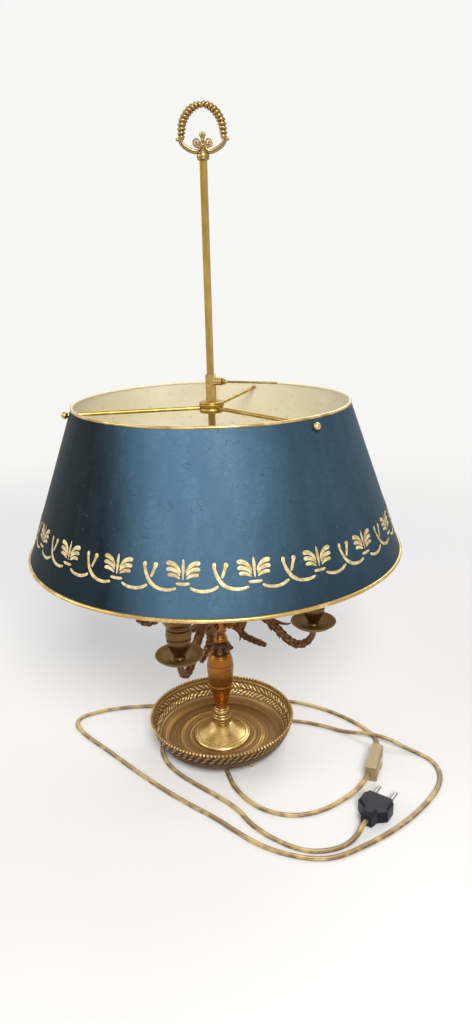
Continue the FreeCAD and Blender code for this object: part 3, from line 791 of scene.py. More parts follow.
def acanthus(s, a):
    """Eight leaves: each folds up from the foot, bulges at the girdle and curls out at its tip."""
    leaf = wave(lap(a) * knob_leaves)
    vein = wave(lap(a) * (3 * knob_leaves) + 0.1 * s)
    notch = wave(lap(a) * (5 * knob_leaves) + 0.35 * s)
    curl = zone(s, 9.0, 16.0, 3.0)
    fold = (leaf - 0.5) * 2.5 * zone(s, 7.0, 18.5, 3) + curl * leaf * 2.2
    return fold - 0.55 * (1 - vein) * zone(s, 6.5, 19, 2) + 0.35 * notch * curl


bell_curve = flow([(34.2, tray_boss_z), (34.2, 10.2), (32.6, 11.9), (29, 13.4), (24, 16), (19, 19.2),
                   (15, 22.4), (12, 24.7), (9.6, bell_top_z)], 7)
bell_line = bored(np.vstack([[(30.0, tray_boss_z)], bell_curve]))
reel_line = bored(flow([(9.6, bell_top_z), (11.6, 28.4), (11.9, 31), (12.1, 33.4), (10.7, 37.9),
                        (9.1, 43.1), (8.1, 45.6), (7.3, reel_top_z)], 9))
vase_line = bored(flow([(7.3, reel_top_z), (8, 53.6), (10.3, 64), (12.9, 74.3), (14, 80.5), (14.7, 87.6),
                        (15.3, 94.7), (15.6, 101.8), (14.8, 109.8), (13.1, 115.8), (10.9, vase_top_z)], 8))
knob_line = bored(flow([(9.6, vase_top_z), (12, 121), (12.6, 124.5), (12.4, 128.4), (11, 131.6),
                        (8.4, knob_top_z)], 9))
hub_line = bored(flow([(8.4, knob_top_z), (9.6, 136.2), (9, 139.2), (7.4, 142.4), (7.6, 145), (8.8, 148),
                       (8.8, 156), (8.8, 165), (8.2, 168), (9.4, 170.4), (9.4, hub_top_z)], 8))
socket_line = bored(flow([(9.2, hub_top_z), (9.6, 174), (7.8, 177), (6.4, 182), (6.6, 186)], 8),
                    high_r=3.2)
print("column profiles:", sum(map(len, (bell_line, reel_line, vase_line, knob_line, hub_line))), "places")

# %% Turn the column
arm_count = 4
peg_z = 156.0


def level_line(u, z):
    """A level line at height z. Each place is nudged on by a ten-thousandth, so that the line still
    has a direction where two places are the same and only the size steps."""
    return np.stack([u + 1e-4 * np.arange(len(u)), np.full(len(u), z)], -1)


# The bell's tinted mark is a painted highlight that makes the whole bell paler.
bell = turned("column_bell", bell_line, ripple=rings((34.5, 37.6), 0.35, 0.25), extra={"tinted": 0.35})
reel = turned("column_reel", reel_line,
              ripple=rings((8.0, 10.4, 13.0, 17.4, 20.4, 26.0, 28.4), 0.45, 0.5))
warm = 1 - step_in(vase_line[:, 1:], 66, 90)
baluster = turned("column_baluster", vase_line, extra={"tinted": warm * 0.9},
                  ripple=rings((5.6, 8.6, 13.5, 17.5, 34.0, 35.4, 61.5, 63.0, 72.4), 0.4, 0.32))
knob = turned("column_leaf_knob", knob_line, columns=160, ripple=acanthus, extra={"lacquer": 0.4})
hub = turned("column_hub", hub_line, ripple=rings((8.6, 14.6, 20.2, 41.5), 0.4, 0.35))
rod_foot = turned("rod_foot", socket_line)
peg_line = flow([(8.0, 3.6), (12, 3.6), (12, 4.6), (14.5, 4.6), (14.5, 3.4), (17, 3.4), (17, 4.8),
                 (20, 4.8), (20.4, 3.8), (24, 3.8)], 3)
pegs = [carried("hub_peg", level_line(peg_line[:, 0], peg_z), peg_line[:, 1], 32, quarter * math.pi / 2)
        for quarter in range(arm_count)]
hub = join("column_hub", [hub] + pegs)
column = {"pedestal_bell": (bell, rim_brass), "neck_reel": (reel, rim_brass),
          "baluster": (baluster, column_brass), "leaf_knob": (knob, cast_brass),
          "arm_hub": (hub, column_brass), "rod_socket": (rod_foot, column_brass)}
for node, (thing, finish) in column.items():
    seat(thing, "lamp", "aged_brass", node)
    finish.on(thing)
print("column:", len(column), "turned pieces,", len(pegs), "pegs")

# %% [markdown]
# ## The shade
# A cone of thin painted sheet metal: dark petrol blue outside, cream inside, with a brass bead rolled
# on at each rim. It is one closed skin, up the outside and down the inside, and a mark tells the
# finish which side it is on. The paint is satin, streaked downwards where it was brushed, crazed in
# places and flecked with small chips. Light and shade are painted into its colour: a broad painted
# sheen down the middle is the bluest, one side is in painted shade and nearly black, the other is in
# painted shade of a dark dull blue, and the paint is darker towards the lower edge.

# %% Skin the shade
shade_foot = np.array([198.8, 256.6])
shade_bend = np.array([195.4, 264.5])
shade_high = np.array([143.2, 411.6])
shade_wall = 0.8
slant_rows = 40
slant = math.atan2(shade_bend[0] - shade_high[0], shade_high[1] - shade_bend[1])
t = np.linspace(0, 1, slant_rows)[:, None]
outer_cone = np.vstack([[shade_foot], shade_bend + t * (shade_high - shade_bend)])
inner_cone = outer_cone[::-1] - [shade_wall * math.cos(slant), shade_wall * math.sin(slant)]
shade_profile = np.vstack([outer_cone, inner_cone])
inside = np.repeat([0.0, 1.0], [len(outer_cone), len(inner_cone)])[:, None]
shade_skin = turned("shade_skin", shade_profile, columns=240, loop=True, extra={"inside": inside})
seat(shade_skin, "shade_carrier", "tole_paint", "shade_body")
print("shade:", len(shade_profile), "rows, slant", round(math.degrees(slant), 1), "degrees")

# %% Mix the paint
painted_light_axis = (0.931, 0.365)
tole = Finish("tole_paint", coat_roughness=0.3, specular_ior_level=0.03)
streak = tole.noise(55, detail=4, stretch=(1, 1, 0.10))
drift = tole.noise(7, detail=2)
mottle = tole.noise(160, detail=3)
craze = tole.node("ShaderNodeTexVoronoi", {"feature": "DISTANCE_TO_EDGE"},
                  {"Vector": tole.place(), "Scale": 160.0}, output=0)
crack = (1.0 - craze.ramp(0.0, 0.040)) * streak.ramp(0.40, 0.56)
tone = (streak * 0.5 + drift * 0.35 + mottle * 0.15).ramp(0.36, 0.64)
# Painted light: across runs from one side of the shade to the other. The middle band gets a painted sheen,
# one side painted shade, and aged darkens the other side with painted shade too; the paint is also darker
# towards the lower edge.
across = tole.part("X") * painted_light_axis[0] + tole.part("Y") * painted_light_axis[1]
toward_lower_edge = 1.0 - tole.part("Z").ramp(0.25, 0.37)
aged = across.ramp(0.000, 0.080)
painted_sheen_band = across.ramp(-0.106, -0.036) * (1.0 - aged * 0.68) * (1.0 - toward_lower_edge * 0.28)
# The two paints are one paint: in painted shade and in a painted sheen.
paint_in_painted_shade = tole.mix(tone, (0.0045, 0.0090, 0.0115), (0.0095, 0.0185, 0.0230))
paint_in_painted_sheen = tole.mix(tone, (0.0580, 0.1230, 0.1880), (0.0800, 0.1590, 0.2350))
paint = tole.mix(painted_sheen_band, paint_in_painted_shade, paint_in_painted_sheen)
chip = tole.noise(620, detail=1).ramp(0.765, 0.785)
paint = tole.mix(crack * 0.36, paint, (0.0050, 0.0140, 0.0240))
paint = tole.mix(chip * 0.55, paint, (0.20, 0.29, 0.33))
cream = tole.mix(drift.ramp(0.35, 0.65), (0.70, 0.63, 0.43), (0.80, 0.74, 0.56))
cream = tole.mix(mottle.ramp(0.60, 0.72) * 0.35, cream, (0.40, 0.28, 0.12))
side_of = tole.mark("inside").ramp(0.4, 0.6)
tole.set(base_color=tole.mix(side_of, paint, cream),
         roughness=0.40 + streak * 0.10 + side_of * 0.25 - crack * 0.05,
         coat_weight=0.03 * (1.0 - side_of))
tole.relief(streak * 0.5 + mottle * 0.5 - crack * 0.8, 0.10, 0.0004)
tole.on(shade_skin)
print("paint:", len(tole.tree.nodes), "nodes")

# %% [markdown]
# ## The gilt border
# A traditional palmette and scroll border, stencilled by hand in gold paint: nineteen times a spike
# between three fat leaves on each side, on a small bar, and beside it a tall and a short stem with
# round heads whose feet run out into swags. Every stroke is drawn once on a flat strip, as a line
# with a width, and then all copies of it are wrapped on the cone together. The strokes stand a tenth
# of a millimetre proud, as thick paint does. Each place of a stroke is (across, up, width).

# %% Draw the strokes
border_repeats = 19
border_phase = math.radians(-77.6)
spike = [(0, 34.6, 1.0), (0, 38, 1.7), (0, 43, 2.7), (0, 48, 2.4), (0, 52.4, 0.9)]
leaves = [[(2.4, 40.5, 1.2), (4.5, 44.5, 2.6), (8.0, 47.6, 3.6), (12.0, 48.9, 4.0), (15.2, 48.4, 3.5)],
          [(2.6, 38.0, 1.2), (5.0, 41.0, 2.6), (8.5, 43.0, 3.3), (12.0, 43.7, 3.6), (15.0, 43.2, 3.1)],
          [(2.8, 35.6, 1.2), (5.4, 37.4, 2.4), (8.4, 38.6, 3.0), (11.4, 38.9, 3.2), (13.8, 38.4, 2.7)]]
bar = [(-6.2, 31.6, 1.8), (-3, 31.2, 2.5), (3, 31.2, 2.5), (6.2, 31.6, 1.8)]
long_stem = [(27.4, 49.0, 4.2), (27.1, 47.2, 4.0), (27.2, 44.6, 2.6), (28.2, 41, 2.8), (30.4, 35.4, 3.2),
             (35.0, 29.6, 3.3), (42.0, 26.4, 2.9), (50.0, 25.8, 2.7), (56.6, 27.4, 2.2)]
short_stem = [(37.9, 48.8, 4.6), (37.5, 46.8, 4.4), (36.8, 44.4, 2.9), (35.4, 40.6, 2.7),
              (33.6, 35.8, 2.2)]
swag = [(6.0, 28.2, 2.2), (11.0, 25.9, 2.6), (18.0, 25.0, 2.8), (25.0, 26.2, 2.7), (30.6, 29.2, 2.4)]
mirrored_leaves = [[(-u, v, w) for u, v, w in leaf] for leaf in leaves]
strokes = [spike, *leaves, *mirrored_leaves, bar, long_stem, short_stem, swag]
print("border:", len(strokes), "strokes,", border_repeats, "times")

# %% Wrap them on the cone
stroke_places = 14
stroke_sides = 6
paint_thick = 0.12
paint_off = 0.02
strip_foot = (198.4, 257.0)
strip_middle_r = 188.5


def brush(stroke):
    """One stroke as a thin lens on the flat strip, in (across, up, off), with its places close
    together at its round ends: half its width sideways times the cosine of an angle, and the
    paint's thickness up times its sine."""
    fine = flow(stroke, 8)
    far = along(fine[:, :2])
    wanted = far[-1] * (0.5 - 0.5 * np.cos(np.linspace(0, math.pi, stroke_places)))
    line = np.stack([np.interp(wanted, far, fine[:, k]) for k in range(3)], -1)
    tangent = directions(line[:, :2])
    a = angles(stroke_sides)
    to_end = np.minimum(wanted, far[-1] - wanted)[:, None] / (line[:, 2:] / 2)
    half = line[:, 2:] / 2 * np.sqrt(np.clip(1 - (1 - np.clip(to_end, 0, 1)) ** 2, 0.01, 1))
    u = line[:, :1] + tangent[:, 1:] * half * np.cos(a)
    v = line[:, 1:2] - tangent[:, :1] * half * np.cos(a)
    return np.stack([u, v, paint_thick * np.sin(a) + 0 * u], -1)


def wrap(flat, copies):
    """The strip laid on the cone, for every copy at once: up runs along the slant, across runs round
    at the radius there, and off is along the cone's outward normal."""
    u, v, off = flat[..., 0], flat[..., 1], flat[..., 2] + paint_off
    r = strip_foot[0] - v * math.sin(slant) + off * math.cos(slant)
    z = strip_foot[1] + v * math.cos(slant) + off * math.sin(slant)
    starts = border_phase + np.arange(copies)[:, None, None] * (2 * math.pi / copies)
    turn = starts + (u / strip_middle_r)[None]
    return np.stack([r * np.cos(turn), r * np.sin(turn), z + 0 * turn], -1)


def many(name, grids):
    """One mesh from many closed tubes: each grid is (copies, rows, columns, 3)."""
    points, faces, start = [], [], 0
    for grid in grids:
        copies, rows, columns = grid.shape[:3]
        index = np.arange(copies * rows * columns).reshape(copies, rows, columns) + start
        around = np.concatenate([index, index[:, :, :1]], 2)
        low, high = around[:, :-1], around[:, 1:]
        quads = np.stack([low[..., :-1], low[..., 1:], high[..., 1:], high[..., :-1]], -1)
        faces += quads.reshape(-1, 4).tolist() + index[:, 0, ::-1].tolist() + index[:, -1].tolist()
        points.append(grid.reshape(-1, 3))
        start += copies * rows * columns
    mesh = bpy.data.meshes.new(name)
    mesh.from_pydata((np.vstack(points) * mm).tolist(), [], faces)
    return piece(name, mesh)


gilt_border = many("gilt_border", [wrap(brush(stroke), border_repeats) for stroke in strokes])
seat(gilt_border, "shade_carrier", "aged_brass")
gilt = Finish("gilt_paint")
rub = gilt.noise(210, detail=4)
flaked = gilt.noise(480, detail=2).ramp(0.66, 0.72)
gilt.set(base_color=gilt.mix(rub.ramp(0.38, 0.62), (0.42, 0.30, 0.12), (0.66, 0.54, 0.29)),
         metallic=0.35, roughness=0.46 + rub * 0.1, alpha=1.0 - flaked * 0.7)
gilt.relief(rub, 0.2, 0.0003)
gilt.on(gilt_border)
print("gilt border:", len(gilt_border.data.polygons), "faces")

# %% [markdown]
# The two beads are solid brass rings that were rolled over the sheet's edges. Their shape in the
# frame is right, so they only get a finish, as do the small rods and knobs that carry the shade. The
# top bead is brass outside its middle line, and inside it the cream paint was brushed on over it.

# %% Finish the rims, rods and knobs
bead_middle_r = 143.1
folded = Finish("folded_rim")
rim_rub = folded.noise(60, detail=3).ramp(0.40, 0.60)
inward = 1.0 - folded.radius().ramp(bead_middle_r - 0.5, bead_middle_r + 0.5)
gold = folded.mix(rim_rub, (0.42, 0.26, 0.085), (0.72, 0.50, 0.20))
folded.set(base_color=folded.mix(inward, gold, (0.78, 0.71, 0.52)), metallic=0.95 - inward * 0.95,
           roughness=0.30 + inward * 0.25)
folded.on(bpy.data.objects["shade_top_rim"])
painted_highlight_brass.on(bpy.data.objects["shade_bottom_rim"])
rim_brass.on(bpy.data.objects["spider_knobs"])
for node in ("spider_rod_1", "spider_rod_2", "spider_rod_3"):
    rod_brass.on(bpy.data.objects[node])
print("finished the rims, the knobs and the rods")

# %% [markdown]
# ## The four arms
# Each arm was cast in sand from a carved model: a fluted horn rises from the hub, its upper leaf
# peels off, and the stem beyond is scaled like bark until it turns up under the pan. A second, short
# spray hangs below with a spike. The section is carried along the arm's line, and its height comes
# from a sawtooth: each scale climbs slowly and drops off sharply onto the next.

# %% The arm's lines and its relief
arm_line = flow([(22, 152), (27, 158), (30, 168), (36, 175), (45.5, 177), (55.5, 172), (66, 163),
                 (76, 153.5), (85.5, 146), (95, 144), (103.5, 148.5), (109, 156), (110.6, 163.6)], 9)
spray_line = flow([(25.5, 158), (26.2, 153), (27.4, 148.5), (32.5, 144), (41, 141), (49.5, 138.6),
                   (57, 136.4)], 9)
spike_line = flow([(27.4, 150.5), (26.8, 146), (26.0, 142), (24.8, 137.4)], 5)
leaf_line = flow([(44, 176.5), (52, 174.6), (60, 171.2), (68, 168.2), (76, 166.6), (82, 167.0),
                  (85.2, 168.6)], 7)
thorn_lines = [((61.0, 160.5), (62.4, 155.0)), ((70.0, 153.0), (72.2, 147.4)),
               ((79.0, 146.0), (81.6, 141.6))]
arm_length = along(arm_line)[-1]


def scales(s, a, length, rows, height):
    """Overlapping scales: phase = s / length, shifted by half a scale on every other row round the
    stem; the height rises with the phase and falls at once where the next scale starts."""
    round_phase = lap(a) * rows
    shift = 0.5 * (np.floor(round_phase) % 2)
    climb = (s / length + shift) % 1.0
    tip = wave(round_phase) ** 0.5
    return height * (climb ** 0.8 * tip - 0.45) * (1 - step_in(climb, 0.93, 1.0))


def arm_relief(s, a):
    """Long flutes on the horn, scales on the stem beyond it, fading out under the pan."""
    flutes = 0.55 * (wave(lap(a) * 9 + 0.01 * s) ** 0.7 - 0.6) * (1 - step_in(s, 44, 62))
    bark = scales(s, a, 7.2, 6, 1.5) * zone(s, 46, arm_length - 6, 8)
    ridge = 0.8 * wave(s / 11.0) * np.clip(np.cos(a), 0, 1) ** 4 * zone(s, 34, arm_length - 22, 6)
    return flutes + bark + ridge


def spray_relief(s, a):
    """Scales in rows down the spray, five low ridges along it, and bumps on its hanging side."""
    bump = 0.7 * wave(s / 9.5) * np.clip(-np.cos(a), 0, 1) ** 2
    return scales(s, a, 6.0, 5, 1.5) * step_in(s, 2, 8) + 0.4 * (wave(lap(a) * 5) - 0.5) + bump


print("arm line:", round(arm_length), "mm, spray line:", round(along(spray_line)[-1]), "mm")

# %% Cast the arms


def cast_arm(number, heading):
    """One casting: horn and stem in one, the spray and spike below, the leaf above, three thorns."""
    far = share(arm_line)
    horn_size = 4.4 + 1.2 * (1 - step_in(far, 0.30, 0.62)) - 0.9 * step_in(far, 0.80, 0.97)
    down = share(spray_line)
    spray_size = 3.9 * (1 - 0.22 * down) * np.sqrt(np.clip(1.01 - down ** 14, 0.02, 1))
    spike_size = 2.8 * np.linspace(1, 0.12, len(spike_line))
    out = share(leaf_line)
    leaf_size = 0.35 + 2.3 * (1 - out) ** 0.8 * np.sqrt(np.clip(out * 6, 0.05, 1))
    parts = [carried("horn", arm_line, horn_size, 36, heading, arm_relief),
             carried("spray", spray_line, spray_size, 24, heading, spray_relief, wide=1.15),
             carried("spike", spike_line, spike_size, 14, heading, lambda s, a: 0.25 * wave(s / 3.2)),
             carried("leaf", leaf_line, leaf_size, 24, heading, lambda s, a: 0.3 * wave(lap(a) * 8),
                     wide=2.0)]
    for foot, point in thorn_lines:
        stub = flow([foot, tuple((np.array(foot) + point) / 2 + (0.8, 0)), point], 4)
        parts.append(carried("thorn", stub, np.linspace(2.3, 0.3, len(stub)), 10, heading, wide=1.2))
    whole = join("arm_cast_" + str(number), parts)
    seat(whole, "lamp", "aged_brass", "arm_" + str(number))
    return cast_brass.on(whole)


arms = [cast_arm(number + 1, number * math.pi / 2) for number in range(arm_count)]
print("arms:", len(arms), "castings of", len(arms[0].data.polygons), "faces")

# %% [markdown]
# ## The candle lights
# On every arm a spun pan with fine radial reeds, a turned cup with ringed bulges, a card candle tube
# and a small pear bulb on its screw cap. The pan is dull from old polish; the cup is browner and
# smoother. All four stand on one circle, so one function makes each pan and its cup.

# %% Spin the pans and turn the cups
light_circle_r = 110.6
pan_z = 170.0
pan_rim = (24.5, 175.6)
reed_count = 54
pan_columns = 336
pan_under = flow([(5.0, 166.4), (9.0, 167.6), (18.4, 170.2), (24.5, 174.8)], 9)
pan_over = flow([(23.7, 175.6), (17.6, 171.6), (8.0, pan_z)], 10)
pan_profile = np.vstack([[(5.6, 163.5), (5.6, 165.9)], pan_under, [pan_rim], pan_over, [(0.5, pan_z)]])
cup_rise = flow(np.array([(6.0, 0.0), (6.4, 1.2), (5.6, 3.6), (7.4, 7.0), (10.0, 12), (12.0, 18),
                          (12.9, 24), (13.2, 28), (12.4, 32.6), (12.0, 35), (13.6, 38.4), (16.4, 43),
                          (18.4, 48), (18.8, 49.8)]) + [0, pan_z], 8)
cup_mouth = [(18.2, 220.6), (16.6, 220.4), (13.6, 215.0), (11.3, 211.0), (11.3, 192.0), (3.0, 191.6)]
cup_profile = np.vstack([cup_rise, cup_mouth])
cup_brass = old_brass("cup_brass", (0.42, 0.26, 0.095), (0.15, 0.078, 0.026), (0.030, 0.014, 0.006),
                      gloss=0.24, worn=0.36)


def reeds(s, a):
    """Radial lines on both faces of the pan that fade towards its foot."""
    return 0.34 * (wave(lap(a) * reed_count) - 0.5) * step_in(s, 9, 13) * (1 - step_in(s, 48, 54))


def bulges(s, a):
    """Rings that part the cup into a foot, an egg and a lip: two shallow ones and five deep ones."""
    return rings((4.6, 9.0), 0.5, 0.4)(s, a) + rings((25.0, 26.4, 36.0, 38.6, 41.4), 0.6, 0.7)(s, a)


# The reed crests get a painted highlight: this goes in as the tinted mark and brightens them.
reed_painted_highlight = np.clip(reeds(along(pan_profile)[:, None], angles(pan_columns)) * 4, 0, 0.16)


def place_light(number, heading):
    """One pan and one cup at the end of the arm with that number."""
    spot = (light_circle_r * math.cos(heading), light_circle_r * math.sin(heading))
    pan = turned("pan_spun_" + str(number), pan_profile, pan_columns, spot, reeds,
                 extra={"tinted": reed_painted_highlight})
    seat(pan, "lamp", "pan_brass", "drip_pan_" + str(number))
    pan_brass.on(pan)
    cup = turned("cup_turned_" + str(number), cup_profile, 80, spot, bulges)
    seat(cup, "lamp", "pan_brass", "candle_cup_" + str(number))
    cup_brass.on(cup)


for number in range(arm_count):
    place_light(number + 1, number * math.pi / 2)
print("pans with", reed_count, "reeds, cups", round(cup_profile[:, 1].max() - pan_z, 1), "mm tall")

# %% [markdown]
# The tubes, holders, bulbs and caps are plain turned shapes and stay as they are in the frame. The
# card tubes are cream with a faint grain and dusty, yellowed tops; the bulb is clear-to-milky glass;
# its cap has a rolled screw thread, which is a wave in height; the holder is dark moulded plastic.

# %% Finish the tubes, holders and bulbs
card = Finish("card_tube", coat_roughness=0.4)
fibre = card.noise(240, detail=4, stretch=(1, 1, 0.2))
stain = card.noise(60, detail=3)
tall = card.part("Z").ramp(0.235, 0.262)
card.set(base_color=card.mix((fibre * 0.4 + stain * 0.6 + tall * 0.25).ramp(0.35, 0.8), (0.80, 0.73, 0.55),
                             (0.60, 0.48, 0.27)),
         roughness=0.5 + fibre * 0.15, coat_weight=0.15)
card.relief(fibre, 0.15, 0.0004)
holder_black = Finish("holder_plastic")
haze = holder_black.noise(300, detail=3)
holder_black.set(base_color=holder_black.mix(haze, (0.020, 0.018, 0.016), (0.050, 0.046, 0.040)),
                 roughness=0.42 + haze * 0.15)
holder_black.relief(haze, 0.12, 0.0002)
pearl = Finish("bulb_glass", transmission_weight=0.35, ior=1.5)
dust = pearl.noise(90, detail=3)
pearl.set(base_color=pearl.mix(dust.ramp(0.4, 0.7), (0.93, 0.92, 0.88), (0.84, 0.81, 0.74)),
          roughness=0.22 + dust * 0.16, coat_weight=0.4)
pearl.relief(dust, 0.05, 0.0003)
thread_pitch = 0.0024
cap_metal = Finish("bulb_cap_metal", metallic=1.0)
cap_z = cap_metal.part("Z")
thread = (cap_z * (2 * math.pi / thread_pitch)).sine() * cap_z.ramp(0.238, 0.241)
tarnish = cap_metal.noise(350, detail=3)
cap_metal.set(base_color=cap_metal.mix(tarnish, (0.42, 0.36, 0.25), (0.68, 0.62, 0.47)),
              roughness=0.28 + tarnish * 0.2)
cap_metal.relief(thread, 0.9, 0.0005)
for number in map(str, range(1, arm_count + 1)):
    card.on(bpy.data.objects["candle_tube_" + number])
    holder_black.on(bpy.data.objects["lamp_holder_" + number])
    pearl.on(bpy.data.objects["bulb_glass_" + number])
cap_metal.on(bpy.data.objects["bulb_caps"])
print("finished", arm_count, "tubes, holders, bulbs and caps")

# %% [markdown]
# ## The square rod and its collar
# The rod is drawn square bar with its edges just eased. A square with soft corners is the curve
# |cos|^n + |sin|^n = 1 for a large n, so the distance out at each angle is one formula. The brass is
# the yellow kind, and its noise is stretched along the bar, the way it was drawn.

# %% Draw the rod, turn the collar
rod_half = 3.0
rod_low_z = 176.0
rod_high_z = 637.9
rod_columns = 48
squareness = 14.0


def square_ring(half):
    """Distance out of a soft-cornered square at each angle: half x (|cos|^n + |sin|^n)^(-1/n)."""
    a = angles(rod_columns)
    return half * (np.abs(np.cos(a)) ** squareness + np.abs(np.sin(a)) ** squareness) ** (-1 / squareness)


def square_bar(name, half, low, high, rows):
    """A square bar along the lamp's axis from low to high."""
    a = angles(rod_columns)
    z = np.linspace(low, high, rows)[:, None]
    out = square_ring(half) + 0 * z
    return skin(name, np.stack([out * np.cos(a), out * np.sin(a), z + 0 * a], -1), marks={"hollow": 0.0})


rod = square_bar("square_rod", rod_half, rod_low_z, rod_high_z, 60)
seat(rod, "lamp", "aged_brass", "stem_rod")
rod_brass.on(rod)
collar_curve = flow([(3.4, rod_high_z), (5.6, 639.3), (6.1, 641.2), (5.9, 643.4), (5.0, 645.2),
                     (4.3, 646.2), (3.2, 648.2), (1.6, 650.4)], 8)
collar = turned("finial_ring", np.vstack([[(0.4, rod_high_z)], collar_curve]), 64,
                ripple=rings((6.6, 11.0), 0.4, 0.4))
seat(collar, "lamp", "aged_brass", "finial_collar")
print("rod", round(rod_high_z - rod_low_z), "mm long")

# %% [markdown]
# ## The wreath
# Two gadrooned horns meet at the top, each a fat rope of slanted ribs that thickens in the middle.
# Below the side balls the horns turn into smooth scrolls, which end in two spiral volutes with a
# small flower between them. The left half is carried along the same lines with their sideways
# distance negated, and reads its ribs from the other side, so both halves lean the same way.

# %% The wreath's lines
wreath_turn = math.radians(21.4)
rib_count = 9
volute_middle = (5.5, 654.0)
flower_z = 659.4
side_ball = (23.6, 656.6)
horn_line = flow([(20.0, 656.4), (19.5, 663), (17.9, 671.5), (13, 679.3), (6.6, 684), (-0.4, 686.0)], 16)
scroll_line = flow([(20.4, 658.6), (20.6, 655.4), (18.6, 651.9), (14.6, 648.8), (9.6, 646.4), (5.6, 646.0),
                    (2.8, 648.4), (1.9, 651.6), (2.2, 655.0)], 8)


def spiral(middle, start_r, end_r, turns, start):
    """A volute: the distance from the middle shrinks evenly while the angle goes round."""
    q = np.linspace(0, 1, 64)
    r = start_r + (end_r - start_r) * q
    a = start + turns * 2 * math.pi * q
    return np.stack([middle[0] + r * np.cos(a), middle[1] + r * np.sin(a)], -1)


def ball_sizes(radius, count, least=0.03):
    """Ring sizes of a ball from pole to pole: r sqrt(1 - q^2) for q from -1 to 1, never quite 0."""
    return radius * np.sqrt(np.clip(1 - np.linspace(-1, 1, count) ** 2, least, 1))


def ribs(s, a):
    """Slanted ribs: one ridge per unit of phase, which grows along the horn and leans with the
    angle. The lowest millimetres are scaled, where the side ball sits."""
    phase = s / along(horn_line)[-1] * (rib_count + 2) - 2 + 0.16 * np.cos(a)
    small = scales(s, a, 3.2, 6, 0.6)
    lower = 1 - step_in(s, 1, 3)
    return (wave(phase) ** 0.42 - 0.70) * 1.5 * (1 - lower) + small * lower * 0.5


print("horn line:", round(along(horn_line)[-1]), "mm with", rib_count, "ribs")

# %% Cast the wreath


def half_wreath(side, lift):
    """One side of the wreath, as separate castings. side is 1 or -1, and lift raises one horn, so
    that it laps over the other."""
    def cast(name, line, size, columns, ripple=None, wide=1.0):
        """A casting on this side, with its ripple read from the other way round on the left."""
        seen = ripple if side > 0 or ripple is None else lambda s, a: ripple(s, math.pi - a)
        return carried(name, line * [side, 1.0], size, columns, wreath_turn, seen, wide)

    horn_size = 2.4 + 1.55 * np.sin(math.pi * np.clip(share(horn_line) * 0.9 + 0.08, 0, 1)) ** 0.8
    far = share(scroll_line)
    scroll_size = 2.35 - 0.75 * far + 0.3 * np.sin(math.pi * far)
    volute = spiral(volute_middle, 4.1, 0.9, 1.6, -0.75 * math.pi)
    core = flow(volute_middle + np.array([(0, -0.9), (0, 0), (0, 0.9)]), 4)
    ball = np.stack([side_ball[0] + np.linspace(-1.7, 1.7, 9), np.full(9, side_ball[1])], -1)
    neck = flow([(19.6, 655.2), (21.6, 656.0), (23.2, 656.5)], 4)
    beads = [np.stack([np.full(5, u), z + np.linspace(-0.8, 0.8, 5)], -1) for u, z in volute[8:60:9]]
    return [cast("horn", horn_line + [0, lift], horn_size, 30, ribs),
            cast("scroll", scroll_line, scroll_size, 18, lambda s, a: 0.25 * (wave(lap(a) * 4) - 0.5)),
            cast("curl", volute, np.linspace(1.0, 0.62, len(volute)), 14, wide=1.7),
            cast("eye", core, ball_sizes(0.9, len(core)), 14, wide=1.5),
            cast("side_ball", ball, ball_sizes(1.7, 9), 16),
            cast("ball_neck", neck, 1.3, 12, lambda s, a: 0.4 * wave(s / 1.6)),
            *[cast("bead", bead, ball_sizes(0.8, 5, 0.05), 8, wide=2.6) for bead in beads]]


def small_flower():
    """Seven petals round a boss, and a stem that stands on the volutes."""
    stem = flow([(0, 651.0), (0, 655.0), (0, 659.6)], 6)
    parts = [carried("stem", stem, 1.5, 14, wreath_turn, lambda s, a: 0.35 * wave(s / 1.7))]
    for k in range(7):
        lean = math.radians(-120 + 40 * k)
        reach = 3.3 + 0.9 * math.cos(lean)
        petal = np.stack([np.linspace(0, math.sin(lean) * reach, 7),
                          flower_z + np.linspace(0, math.cos(lean) * reach, 7)], -1)
        size = [0.4, 0.7, 1.0, 1.15, 1.05, 0.7, 0.15]
        parts.append(carried("petal", petal, size, 10, wreath_turn))
    boss = np.stack([np.zeros(7), flower_z + np.linspace(-1.3, 1.3, 7)], -1)
    return parts + [carried("boss", boss, ball_sizes(1.3, 7, 0.04), 12, wreath_turn, wide=1.4)]


wreath = join("wreath_cast", half_wreath(1, 0.4) + half_wreath(-1, 0.0) + small_flower())
seat(wreath, "lamp", "aged_brass", "wreath")
wreath_brass = old_brass("wreath_brass", (0.74, 0.57, 0.29), (0.34, 0.22, 0.080), (0.022, 0.012, 0.005),
                         gloss=0.22, worn=0.42)
wreath_brass.on(wreath)
wreath_brass.on(collar)
print("wreath:", len(wreath.data.polygons), "faces")

# %% [markdown]
# ## The shade's carrier and its arrow key
# A brass hub slides on the rod with a sleeve above it. A screw in the sleeve's boss clamps the rod,
# and is turned by its long shaft, which ends in an arrow's feather: two flat vanes cut with slanting
# barbs. Each vane is a thin plate whose edge is a sawtooth. The sleeve keeps its solid.

# %% Turn the hub
hub_bore_r = 4.6
hub_ring = flow([(12.2, 399.8), (12.7, 400.8), (12.7, 403), (12.0, 404.6), (12.7, 406.2), (12.7, 409.6),
                 (11.6, 411.0), (9.0, 411.1)], 6)
carrier_hub = turned("carrier_hub", bored(hub_ring, hub_bore_r, hub_bore_r), loop=True,
                     ripple=rings((13.0, 17.4), 0.5, 0.3))
seat(carrier_hub, "shade_carrier", "aged_brass", "spider_hub")
rod_brass.on(carrier_hub)
rim_brass.on(bpy.data.objects["carrier_sleeve"])
print("carrier hub:", len(carrier_hub.data.polygons), "faces")

